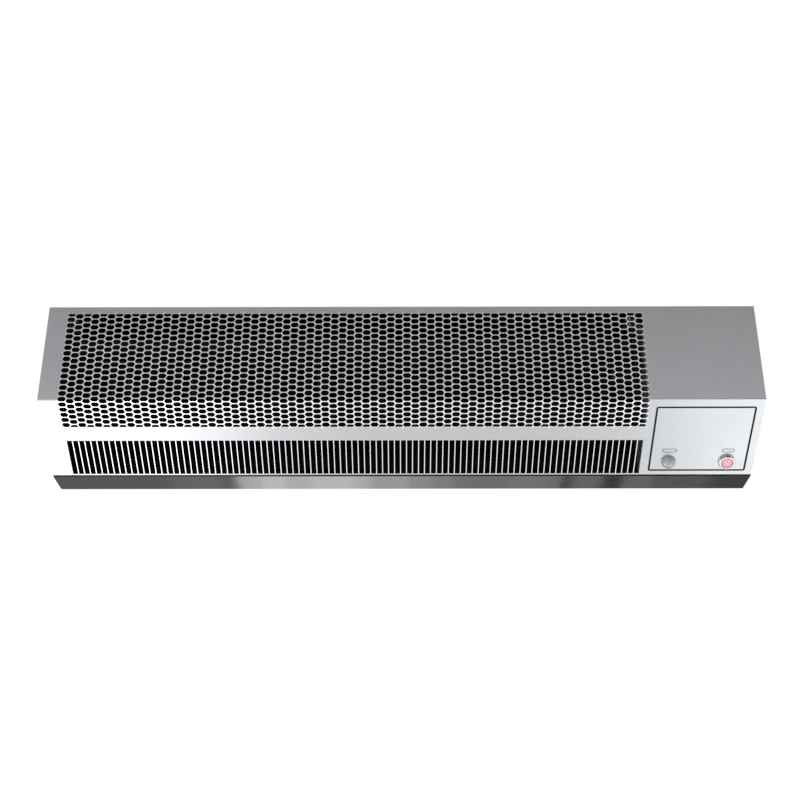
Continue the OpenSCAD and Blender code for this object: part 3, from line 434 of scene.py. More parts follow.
@dataclass
class CoverProfile:
    """Cross-section of the folded cover, followed along the sheet from the edge of its top flange.

    Levels are counted along the sheet from the top corner: the top flange lies at negative levels.

    Args:
        top: Height of the top corner.
        depth: Distance of the front from the wall.
        front: Length of the upright front.
        slope: Length of the sloping face.
        slope_angle: Turn of the sheet from the front to the slope, in degrees.
        flange: Length of the top flange.
        low_flange: Length of the flange that goes inward under the slope.
        sheet: Thickness of the sheet.
        radius: Outer radius of the folds at the top and under the front.
        low_radius: Outer radius of the lowest fold.
    """

    FOLD_CUTS: ClassVar[tuple[float, ...]] = (-1.0, -0.6, -0.2, 0.2, 0.6, 1.0)

    top: float = 65.0
    depth: float = 152.5
    front: float = 133.0
    slope: float = 120.85
    slope_angle: float = 62.5
    flange: float = 25.0
    low_flange: float = 14.0
    sheet: float = 1.2
    radius: float = 2.0
    low_radius: float = 1.4

    @property
    def bends(self) -> list[Bend]:
        """The three folds: top corner, fold of the front, and the inner flange."""
        return [
            Bend(0.0, 90.0, self.radius),
            Bend(self.front, self.slope_angle, self.radius),
            Bend(self.front + self.slope, 90.0 - self.slope_angle, self.low_radius),
        ]

    @property
    def start(self) -> float:
        """Level of the edge of the top flange."""
        return -self.flange

    @property
    def end(self) -> float:
        """Level of the edge of the inner flange."""
        return self.front + self.slope + self.low_flange

    def cut_levels(self) -> list[float]:
        """Levels at which the flat mesh is cut so that it can bend."""
        return [b.at + share * b.half for b in self.bends for share in self.FOLD_CUTS]

    def place(self, level: float, inward: float) -> Vector:
        """Point of the sheet in Y and Z.

        Args:
            level: Place along the sheet.
            inward: Depth under its outer side.

        Returns:
            The point, with X at zero, in millimetres.
        """
        heading = math.pi
        corner = Vector((0.0, -self.depth + self.flange, self.top))
        before = self.start
        for bend in self.bends:
            half = bend.half
            ahead = Vector((0.0, math.cos(heading), math.sin(heading)))
            inside = Vector((0.0, -math.sin(heading), math.cos(heading)))
            if level <= bend.at - half:
                return corner + ahead * (level - before) + inside * inward
            corner = corner + ahead * (bend.at - before)
            before = bend.at
            turn = math.radians(bend.turn)
            if level < bend.at + half:
                part = (level - bend.at + half) / (2 * half) * turn
                centre = corner - ahead * half + inside * bend.radius
                spoke = heading + part - math.pi / 2
                out = Vector((0.0, math.cos(spoke), math.sin(spoke)))
                return centre + out * (bend.radius - inward)
            heading += turn
        ahead = Vector((0.0, math.cos(heading), math.sin(heading)))
        inside = Vector((0.0, -math.sin(heading), math.cos(heading)))
        return corner + ahead * (level - before) + inside * inward


@dataclass
class IntakeHoles:
    """The field of six-sided intake holes with rounded corners.

    Each hole lies in a cell, and the cells share the points on their sides, so that the field is one
    sheet.

    Args:
        columns: Number of columns.
        rows: Holes in each column.
        pitch_x: Distance from one column to the next.
        pitch_v: Distance from one row to the next.
        lowered: How far the odd columns lie under the even ones, as a share of the pitch.
        width: Width of a hole between its two side corners.
        height: Height of a hole.
        flat: Length of its upper and lower side.
        corner: Radius of its corners.
        first_x: Place of the first column.
        zone_top: Level at which the field starts, and where its highest holes are cut off.
        web_margin: How far above and below the field the sheet still has the lighter web finish, a painted
            highlight.
        sides: Points on a cell's sides, for the even and the odd columns: the level in eighths of a
            pitch, and how far the side bulges there. The odd columns lie three eighths lower, so
            that both share the points.
        steps_x: Segments of a cell's upper and lower side.
    """

    HALVINGS: ClassVar[int] = 30

    columns: int = 72
    rows: int = 21
    pitch_x: float = 10.17
    pitch_v: float = 8.025
    lowered: float = 0.375
    width: float = 10.8
    height: float = 6.85
    flat: float = 6.4
    corner: float = 1.1
    first_x: float = -420.2
    zone_top: float = 11.0
    web_margin: float = 0.8
    sides: tuple[tuple[tuple[int, float], ...], ...] = (
        ((-4, -0.7), (-1, 0.7), (0, 1.0), (3, -1.0)),
        ((-4, -0.7), (-3, -1.0), (0, 1.0), (1, 0.7)),
    )
    steps_x: int = 5

    @property
    def zone_end(self) -> float:
        """Level at which the field ends."""
        return self.level(0, self.rows - 1) + self.height / 2

    def level(self, column: int, row: int) -> float:
        """Level of a hole's centre."""
        shift = row - self.lowered + (column % 2) * self.lowered
        return self.zone_top + self.height / 2 + shift * self.pitch_v

    def near_zone(self, level: float) -> bool:
        """Whether a level lies in the field, or so near it that a web is there."""
        return self.zone_top - self.web_margin < level < self.zone_end + self.web_margin

    def reach(self, angle: float) -> float:
        """Distance from a hole's centre to its rim in one direction.

        Args:
            angle: The direction, in radians.

        Returns:
            The distance in millimetres.
        """
        x, y = self.width / 2 - self.corner, self.height / 2 - self.corner
        flat = self.flat / 2 - self.corner / 2
        core = [(x, 0.0), (flat, y), (-flat, y), (-x, 0.0), (-flat, -y), (flat, -y)]
        low, high = 0.0, self.width
        for _ in range(self.HALVINGS):
            middle = (low + high) / 2
            point = (middle * math.cos(angle), middle * math.sin(angle))
            if self.outside(core, point) > self.corner:
                high = middle
            else:
                low = middle
        return low

    @staticmethod
    def outside(core: Sequence[Point2], point: Point2) -> float:
        """Distance from a convex outline to a point outside it, or 0 inside.

        Args:
            core: The outline, counterclockwise.
            point: The point.

        Returns:
            The distance.
        """
        best, within = math.inf, True
        for (ax, ay), (bx, by) in zip(core, [*core[1:], core[0]]):
            dx, dy = bx - ax, by - ay
            px, py = point[0] - ax, point[1] - ay
            if dx * py - dy * px < 0:
                within = False
            t = max(0.0, min(1.0, (px * dx + py * dy) / (dx * dx + dy * dy)))
            best = min(best, math.hypot(px - t * dx, py - t * dy))
        return 0.0 if within else best

    def side(self, column: int) -> list[Point2]:
        """Points on the right side of a cell, from corner to corner and measured from its centre.

        Args:
            column: The cell's column.

        Returns:
            The points.
        """
        middle, eighth = self.pitch_x / 2, self.pitch_v / 8
        points = [(middle + bulge, eighths * eighth) for eighths, bulge in self.sides[column % 2]]
        return [*points, (points[0][0], -points[0][1])]

    def frame(self, column: int) -> list[Point2]:
        """Points round one cell, from its centre, counterclockwise.

        Args:
            column: The cell's column.

        Returns:
            The points.
        """
        right = self.side(column)
        w, h = right[-1]
        run = [-w + i * 2 * w / self.steps_x for i in range(self.steps_x)]
        upper = [(-x, h) for x in run]
        left = [(-x, y) for x, y in reversed(right[1:])]
        lower = [(x, -h) for x in run]
        return right[:-1] + upper + left + lower

    def in_cell(self, x: float, level: float) -> bool:
        """Whether a place lies in one of the cells.

        Args:
            x: Place along X.
            level: Place along the sheet.

        Returns:
            True inside the field.
        """
        nearest = round((x - self.first_x) / self.pitch_x)
        for column in range(max(0, nearest - 1), min(self.columns, nearest + 2)):
            row = round((level - self.level(column, 0)) / self.pitch_v)
            if not 0 <= row < self.rows:
                continue
            across = abs(x - self.first_x - column * self.pitch_x)
            along = level - self.level(column, row)
            side = self.side(column)
            for (x0, y0), (x1, y1) in zip(side, side[1:]):
                if y0 <= along <= y1 and across < x0 + (x1 - x0) * (along - y0) / (y1 - y0):
                    return True
        return False

    def rim(self, column: int) -> list[Point2]:
        """Points of a hole's rim, one for each point of its cell's frame."""
        ways = [math.atan2(y, x) for x, y in self.frame(column)]
        return [(self.reach(a) * math.cos(a), self.reach(a) * math.sin(a)) for a in ways]


@dataclass
class OutletSlots:
    """The band of outlet slots near the lower edge of the slope.

    Args:
        count: Number of slots.
        width: Width of a slot.
        pitch: Distance from one slot to the next.
        first_x: Place of the first slot.
        start: Distance from the fold of the front to the slots' upper end.
        length: Length of a slot.
    """

    count: int = 95
    width: float = 6.6
    pitch: float = 7.685
    first_x: float = -420.3
    start: float = 64.1
    length: float = 54.7

    def between(self, x: float, down: float) -> bool:
        """Whether a place on the slope lies on a web between two slots."""
        across = x - self.first_x
        return 0 < across < (self.count - 1) * self.pitch and 0 < down - self.start < self.length


@dataclass(frozen=True)
class RoundHole:
    """A round hole in the sheet for one of the controls.

    Args:
        x: Place of its middle along X.
        level: Distance of its middle from the fold of the front.
        diameter: Its diameter.
        sides: Number of its sides.
    """

    x: float
    level: float
    diameter: float
    sides: int = 40

    def outline(self, start: float) -> list[Point2]:
        """The hole's corners, where levels are counted from a start."""
        r, turns = self.diameter / 2, [2 * math.pi * i / self.sides for i in range(self.sides)]
        return [(self.x + r * math.cos(a), start + self.level + r * math.sin(a)) for a in turns]


SENSOR_HOLE = RoundHole(341.0, 99.5, 18.8)
BUTTON_HOLE = RoundHole(415.6, 99.5, 18.4)


class FlatSheet:
    """A flat mesh under construction, in X and level, that shares its points.

    Points that fall in the same cell of a fine grid are one. The grid is shifted a little, because
    round places would otherwise lie on the border of two cells.
    """

    GRID: ClassVar[float] = 1000.0
    GRID_SHIFT: ClassVar[float] = 0.3

    def __init__(self) -> None:
        """Starts an empty sheet."""
        self.mesh = bmesh.new()
        self.points: dict[tuple[int, int], bmesh.types.BMVert] = {}
        self.rims: set[bmesh.types.BMVert] = set()

    def point(self, x: float, level: float) -> bmesh.types.BMVert:
        """The vertex at a place, made if it isn't there yet.

        Args:
            x: Place along X.
            level: Place along the sheet.

        Returns:
            The vertex.
        """
        key = (round(x * self.GRID + self.GRID_SHIFT), round(level * self.GRID + self.GRID_SHIFT))
        if key not in self.points:
            self.points[key] = self.mesh.verts.new((x, level, 0.0))
        return self.points[key]

    def face(self, places: Sequence[Point2], finish: int) -> None:
        """Adds a face, unless its points fall together.

        Args:
            places: Its corners.
            finish: Index of its finish on the piece.
        """
        found: list[bmesh.types.BMVert] = []
        for x, level in places:
            vert = self.point(x, level)
            if vert not in found:
                found.append(vert)
        if len(found) > 2:
            self.mesh.faces.new(found).material_index = finish

    def loop(self, places: Sequence[Point2]) -> list[bmesh.types.BMEdge]:
        """Adds or finds the edges of a closed outline.

        Args:
            places: Its corners in order.

        Returns:
            The edges.
        """
        verts = [self.point(x, level) for x, level in places]
        edges = []
        for a, b in zip(verts, [*verts[1:], verts[0]]):
            edge = self.mesh.edges.get((a, b)) or self.mesh.edges.new((a, b))
            edges.append(edge)
        return edges


@dataclass
class FrontCover:
    """The folded and perforated cover sheet, which takes the place of its CAD node.

    Its plain parts, the webs between its openings, and its cut rims with the inner flange each have a
    finish of their own. The webs are painted lighter, as a painted highlight; the cut rims and the
    inner flange are painted near black, as painted shade.

    Args:
        half_w: Half its width.
        profile: Its cross-section.
        holes: Its intake holes.
        slots: Its outlet slots.
        controls: The holes for the sensor and the button.
    """

    PLAIN: ClassVar[int] = 0
    WEB_HIGHLIGHT: ClassVar[int] = 1
    PAINTED_SHADE_RIM: ClassVar[int] = 2
    MERGE: ClassVar[float] = 1e-5
    CUT_SNAP: ClassVar[float] = 0.01

    half_w: float = 450.0
    profile: CoverProfile = field(default_factory=CoverProfile)
    holes: IntakeHoles = field(default_factory=IntakeHoles)
    slots: OutletSlots = field(default_factory=OutletSlots)
    controls: tuple[RoundHole, ...] = (SENSOR_HOLE, BUTTON_HOLE)

    def cells(self, sheet: FlatSheet) -> None:
        """Adds a ring of faces round every intake hole.

        Args:
            sheet: The flat mesh.
        """
        holes = self.holes
        frames = [(holes.frame(parity), holes.rim(parity)) for parity in range(2)]
        for column in range(holes.columns):
            frame, rim = frames[column % 2]
            x0 = holes.first_x + column * holes.pitch_x
            for row in range(holes.rows):
                v0 = holes.level(column, row)
                outer = [(x0 + x, v0 + y) for x, y in frame]
                inner = [
                    (x0 + x, min(max(v0 + y, holes.zone_top), holes.zone_end)) for x, y in rim
                ]
                sheet.rims.update(sheet.point(x, level) for x, level in inner)
                for i in range(len(frame)):
                    j = (i + 1) % len(frame)
                    # The webs round the holes are painted lighter than the plain sheet, as a painted
                    # highlight.
                    near = holes.near_zone((outer[i][1] + inner[i][1]) / 2)
                    finish = self.WEB_HIGHLIGHT if near else self.PLAIN
                    sheet.face([outer[i], outer[j], inner[j], inner[i]], finish)

    def plain(self, sheet: FlatSheet) -> None:
        """Fills the rest of the sheet, round the field of holes, the slots and the controls.

        Args:
            sheet: The flat mesh.
        """
        p, s = self.profile, self.slots
        edges = [e for e in sheet.mesh.edges if e.is_boundary and not sheet.rims.issuperset(e.verts)]
        edges += sheet.loop(self.box(-self.half_w, self.half_w, p.start, p.end))
        start = p.front + s.start
        for i in range(s.count):
            left = s.first_x + i * s.pitch - s.width / 2
            edges += sheet.loop(self.box(left, left + s.width, start, start + s.length))
        for hole in self.controls:
            edges += sheet.loop(hole.outline(p.front))
        verts = list({vert: None for edge in edges for vert in edge.verts})
        index = {vert: i for i, vert in enumerate(verts)}
        ends = [(index[edge.verts[0]], index[edge.verts[1]]) for edge in edges]
        places = [vert.co.xy for vert in verts]
        _, _, triangles, origins, _, _ = delaunay_2d_cdt(places, ends, [], 0, self.MERGE)
        for triangle in triangles:
            found = [verts[origins[i][0]] for i in triangle]
            middle = sum((v.co for v in found), Vector()) / 3
            if not self.open_at(middle.x, middle.y):
                # The webs between the slots are painted lighter, as a painted highlight.
                web = s.between(middle.x, middle.y - p.front)
                sheet.mesh.faces.new(found).material_index = self.WEB_HIGHLIGHT if web else self.PLAIN

    @staticmethod
    def box(left: float, right: float, start: float, end: float) -> list[Point2]:
        """The four corners of a straight outline, in X and level."""
        return [(left, start), (right, start), (right, end), (left, end)]

    def open_at(self, x: float, level: float) -> bool:
        """Whether a place lies in the field of holes, in a slot or in a control's hole.

        Args:
            x: Place along X.
            level: Place along the sheet.

        Returns:
            True where the plain sheet ends.
        """
        if self.holes.in_cell(x, level):
            return True
        s = self.slots
        slot = round((x - s.first_x) / s.pitch)
        beside = abs(x - s.first_x - slot * s.pitch)
        down = level - self.profile.front
        if 0 <= slot < s.count and beside < s.width / 2 and 0 < down - s.start < s.length:
            return True
        return any(math.hypot(x - c.x, down - c.level) < c.diameter / 2 for c in self.controls)

    def build(self) -> bpy.types.Object:
        """Makes the sheet flat, cuts it where it folds, and folds it.

        Returns:
            The cover, standing for its CAD node.
        """
        sheet = FlatSheet()
        self.cells(sheet)
        self.plain(sheet)
        flat = sheet.mesh
        for level in self.profile.cut_levels():
            bmesh.ops.bisect_plane(
                flat,
                geom=flat.verts[:] + flat.edges[:] + flat.faces[:],
                dist=self.CUT_SNAP,
                plane_co=(0.0, level, 0.0),
                plane_no=(0.0, 1.0, 0.0),
            )
        bmesh.ops.recalc_face_normals(flat, faces=flat.faces[:])
        mesh, finishes = self.folded(flat)
        cover = add_piece("folded_cover", mesh, "root", Finishes.COVER)
        for finish in (Finishes.WEB_HIGHLIGHT, Finishes.PAINTED_SHADE_EDGE):
            mesh.materials.append(Finishes.get(finish))
        mesh.polygons.foreach_set("material_index", finishes)
        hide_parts("front_cover")
        return cover

    def folded(self, flat: bmesh.types.BMesh) -> tuple[bpy.types.Mesh, list[int]]:
        """Folds the flat mesh and gives it its thickness.

        Args:
            flat: The flat mesh, which is used up.

        Returns:
            The closed mesh in metres, and the index of each face's finish.
        """
        flat.verts.ensure_lookup_table()
        flat.verts.index_update()
        count = len(flat.verts)
        points: list[Vector] = []
        for inward in (0.0, self.profile.sheet):
            for vert in flat.verts:
                place = self.profile.place(vert.co.y, inward)
                points.append(Vector((vert.co.x, place.y, place.z)) * MM)
        faces: list[list[int]] = []
        finishes: list[int] = []
        last_fold = self.profile.front + self.profile.slope
        for face in flat.faces:
            ring = [v.index for v in face.verts]
            faces += [ring, [count + i for i in reversed(ring)]]
            # Faces past the lowest fold, on the inner flange, are painted near black as shade.
            hidden = face.calc_center_median().y > last_fold
            finishes += [self.PAINTED_SHADE_RIM if hidden else face.material_index] * 2
        # The cut walls round the holes and along the sheet's edges are painted near black as shade.
        for edge in flat.edges:
            if edge.is_boundary:
                loop = edge.link_loops[0]
                a, b = loop.vert.index, loop.link_loop_next.vert.index
                faces.append([b, a, count + a, count + b])
                finishes.append(self.PAINTED_SHADE_RIM)
        flat.free()
        return closed_mesh("folded_cover", points, faces), finishes


# ---------- controls ----------


@dataclass
class ControlPanel:
    """Printed frames on the control panel, the sensor and the push button.

    Args:
        profile: The cross-section of the cover that the panel is printed on.
        frame_x: Left and right side of the printed frame.
        frame_v: Its upper and lower side, as distances down the slope.
        frame_line: Width of its line.
        frame_corner: Radius of its corners.
        pill_v: Distance of the two small outlines down the slope.
        pill_h: Their height.
        pill_line: Width of their line.
        pills: Place along X and width of each.
        print_t: Thickness of the print.
        button: The push button's hole.
        cap_top: Height of the button's cap over the sheet.
        symbol_r: Outer radius of the power sign.
        symbol_line: Width of its line.
        symbol_gap: Angle from its bar to each end of its ring, in degrees.
        symbol_rise: How far its bar stands past its ring, and its lower end over the middle.
        symbol_steps: Segments of its ring.
    """

    SAME: ClassVar[float] = 1e-6

    profile: CoverProfile = field(default_factory=CoverProfile)
    frame_x: Point2 = (316.0, 440.9)
    frame_v: Point2 = (11.4, 114.8)
    frame_line: float = 2.5
    frame_corner: float = 3.0
    pill_v: float = 81.4
    pill_h: float = 5.6
    pill_line: float = 0.8
    pills: tuple[Point2, ...] = ((340.4, 19.0), (415.0, 16.0))
    print_t: float = 0.06
    button: RoundHole = BUTTON_HOLE
    cap_top: float = 3.6
    symbol_r: float = 3.6
    symbol_line: float = 0.9
    symbol_gap: float = 38.0
    symbol_rise: float = 0.4
    symbol_steps: int = 30

    def lift(self, x: float, v: float, height: float) -> Vector:
        """Point over the slope.

        Args:
            x: Place along X.
            v: Distance down the slope from the fold.
            height: Height over the sheet's outer side.

        Returns:
            The point in metres.
        """
        place = self.profile.place(self.profile.front + v, -height)
        return Vector((x, place.y, place.z)) * MM

    def rounded(
        self, cx: float, cv: float, w: float, h: float, r: float, steps: int = 8
    ) -> list[Point2]:
        """Outline of a rectangle with rounded corners, without points that fall together.

        Args:
            cx: Middle along X.
            cv: Middle down the slope.
            w: Width.
            h: Height.
            r: Radius of its corners.
            steps: Segments of each corner.

        Returns:
            The outline, counterclockwise.
        """
        found: list[Point2] = []
        for quarter, (sx, sy) in enumerate(((1, 1), (-1, 1), (-1, -1), (1, -1))):
            for i in range(steps + 1):
                a = math.pi / 2 * (quarter + i / steps)
                point = (cx + sx * (w / 2 - r) + r * math.cos(a), cv + sy * (h / 2 - r) + r * math.sin(a))
                if all(math.dist(point, other) > self.SAME for other in (*found[:1], *found[-1:])):
                    found.append(point)
        return found

    def band(
        self, outer: Sequence[Point2], inner: Sequence[Point2], base: float, closed: bool
    ) -> bpy.types.Mesh:
        """A thin raised band between two lines of points over the slope.

        Args:
            outer: One side of the band.
            inner: Its other side, with as many points.
            base: Height of its underside over the sheet.
            closed: Whether its ends meet.

        Returns:
            The closed mesh.
        """
        n = len(outer)
        points = [
            self.lift(x, v, base + t)
            for t in (0.0, self.print_t)
            for line in (outer, inner)
            for x, v in line
        ]
        faces = []
        for i in range(n if closed else n - 1):
            j = (i + 1) % n
            faces += [
                [i, j, n + j, n + i],
                [2 * n + i, 3 * n + i, 3 * n + j, 2 * n + j],
                [i, 2 * n + i, 2 * n + j, j],
                [n + i, n + j, 3 * n + j, 3 * n + i],
            ]
        if not closed:
            faces += [[0, n, 3 * n, 2 * n], [n - 1, 3 * n - 1, 4 * n - 1, 2 * n - 1]]
        return closed_mesh("band", points, faces)

    def outline(
        self, name: str, cx: float, cv: float, w: float, h: float, r: float, line: float
    ) -> None:
        """Prints a rounded rectangle's outline on the panel.

        Args:
            name: The piece's name.
            cx: Middle along X.
            cv: Middle down the slope.
            w: Width.
            h: Height.
            r: Radius of its corners.
            line: Width of the line.
        """
        outer = self.rounded(cx, cv, w, h, r)
        inner = self.rounded(cx, cv, w - 2 * line, h - 2 * line, r - line)
        add_piece(name, self.band(outer, inner, 0.0, True), "root", Finishes.PRINT)

    def symbol(self) -> None:
        """Prints the power sign on the button's cap: an open ring and a bar."""
        x, v, steps = self.button.x, self.button.level, self.symbol_steps
        gap = math.radians(self.symbol_gap)
        turns = [gap + (2 * math.pi - 2 * gap) * i / steps for i in range(steps + 1)]
        outer, inner = (
            [(x + r * math.sin(a), v - r * math.cos(a)) for a in turns]
            for r in (self.symbol_r, self.symbol_r - self.symbol_line)
        )
        ring = self.band(outer, inner, self.cap_top, False)
        add_piece("power_sign_ring", ring, "power_button", Finishes.SYMBOL)
        high, low = v - self.symbol_r - self.symbol_rise, v - self.symbol_rise
        left, right = x - self.symbol_line / 2, x + self.symbol_line / 2
        bar = self.band([(left, high), (left, low)], [(right, high), (right, low)], self.cap_top, False)
        add_piece("power_sign_bar", bar, "power_button", Finishes.SYMBOL)

    def build(self, nodes: dict[str, bpy.types.Object]) -> None:
        """Prints the panel and dresses the controls.

        Args:
            nodes: The CAD nodes by name.
        """
        (x0, x1), (v0, v1) = self.frame_x, self.frame_v
        middle, size = ((x0 + x1) / 2, (v0 + v1) / 2), (x1 - x0, v1 - v0)
        self.outline("panel_frame", *middle, *size, self.frame_corner, self.frame_line)
        for name, (x, w) in zip(("sensor_tag", "button_tag"), self.pills):
            self.outline(name, x, self.pill_v, w, self.pill_h, self.pill_h / 2, self.pill_line)
        self.symbol()
        dress_nodes(
            nodes,
            {
                "sensor_lens": Finishes.LENS,
                "sensor_element": Finishes.CAN,
                "sensor_body": Finishes.WHITE,
                "sensor_clip": Finishes.BLACK,
                "button_body": Finishes.BEZEL,
                "button_cap": Finishes.BUTTON,
                "button_light": Finishes.RING,
                "button_nut": Finishes.SCREW,
                "button_terminals": Finishes.BRASS,
            },
        )


# ---------- pieces that keep their CAD shape ----------


@dataclass
class Assembly:
    """A group of CAD nodes that keep their shape and get a finish each."""

    finishes: dict[str, Finish] = field(default_factory=dict)

    def build(self, nodes: dict[str, bpy.types.Object]) -> None:
        """Dresses the group's nodes."""
        dress_nodes(nodes, self.finishes)


@dataclass
class Casing(Assembly):
    """The rear casing, its end caps, the wall rail and the casing's screws."""

    finishes: dict[str, Finish] = field(
        default_factory=lambda: {
            "rear_casing": Finishes.CASING,
            "left_end_cap": Finishes.CAP,
            "right_end_cap": Finishes.CAP,
            "wall_rail": Finishes.RAIL,
            "cable_grommet": Finishes.RUBBER,
            "cover_screws": Finishes.SCREW,
            "end_cap_screws": Finishes.SCREW,
        }
    )


@dataclass
class FanUnit(Assembly):
    """The cross-flow fan with its plates, air guides, wheel and bearing."""

    finishes: dict[str, Finish] = field(
        default_factory=lambda: {
            "left_side_plate": Finishes.PLATE,
            "right_side_plate": Finishes.PLATE,
            # The air guides and the wheel are near black as painted shade for the dark inside of the
            # housing.
            "volute": Finishes.GUIDE_SHADE,
            "tongue": Finishes.GUIDE_SHADE,
            "fan_wheel": Finishes.WHEEL_SHADE,
            "wheel_shaft": Finishes.SHAFT,
            "drive_hub": Finishes.HUB,
            "hub_screw": Finishes.HUB,
            "bearing_bush": Finishes.BRONZE,
            "bearing_rubber": Finishes.RUBBER,
            "side_plate_screws": Finishes.SCREW,
        }
    )


@dataclass
class Motor(Assembly):
    """The motor with its bracket and rubber rings."""

    finishes: dict[str, Finish] = field(
        default_factory=lambda: {
            "motor_stator": Finishes.LAMINATION,
            "motor_windings": Finishes.COPPER,
            "motor_rotor": Finishes.LAMINATION,
            "motor_shaft": Finishes.SHAFT,
            "motor_front_shell": Finishes.SHELL,
            "motor_rear_shell": Finishes.SHELL,
            "motor_bolts": Finishes.SCREW,
            "motor_rubbers": Finishes.RUBBER,
            "motor_bracket": Finishes.BRACKET,
            "bracket_screws": Finishes.SCREW,
        }
    )


@dataclass
class Electrics(Assembly):
    """The circuit board and what is on it, and the run capacitor."""

    finishes: dict[str, Finish] = field(
        default_factory=lambda: {
            "circuit_board": Finishes.BOARD,
            "board_standoffs": Finishes.BRASS,
            "board_screws": Finishes.SCREW,
            "relay": Finishes.BLUE,
            "transformer": Finishes.CORE,
            "terminal_block": Finishes.TERMINAL,
            "fuse_holder": Finishes.GLASS,
            "capacitor": Finishes.WHITE,
            "capacitor_clip": Finishes.BRACKET,
        }
    )


# ---------- studio ----------


@dataclass(frozen=True)
class Card:
    """A plain card that shows in polished metal alone.

    Args:
        name: Its name.
        middle: Its middle, in metres.
        size: Its length along X and its other length, in metres.
        tilt: Its turn about X, in degrees, where 0 lies flat.
        level: How bright it looks, where 1 is the background's white.
    """

    name: str
    middle: tuple[float, float, float]
    size: Point2
    tilt: float
    level: float

    def hang(self) -> None:
        """Puts the card in the studio."""
        x, y = self.size[0] / 2, self.size[1] / 2
        mesh = bpy.data.meshes.new(self.name)
        mesh.from_pydata([(-x, -y, 0), (x, -y, 0), (x, y, 0), (-x, y, 0)], [], [(0, 1, 2, 3)])
        obj = bpy.data.objects.new(self.name, mesh)
        obj.location = self.middle
        obj.rotation_euler = (math.radians(self.tilt), 0.0, 0.0)
        bpy.context.scene.collection.objects.link(obj)
        obj.visible_camera = obj.visible_diffuse = obj.visible_shadow = False
        plain = bpy.data.materials.new(self.name)
        plain.use_nodes = True
        shader = plain.node_tree.nodes["Principled BSDF"]
        shader.inputs["Base Color"].default_value = (0.0, 0.0, 0.0, 1.0)
        shader.inputs["Roughness"].default_value = 1.0
        shader.inputs["Emission Color"].default_value = WHITE_LIGHT
        shader.inputs["Emission Strength"].default_value = self.level
        mesh.materials.append(plain)


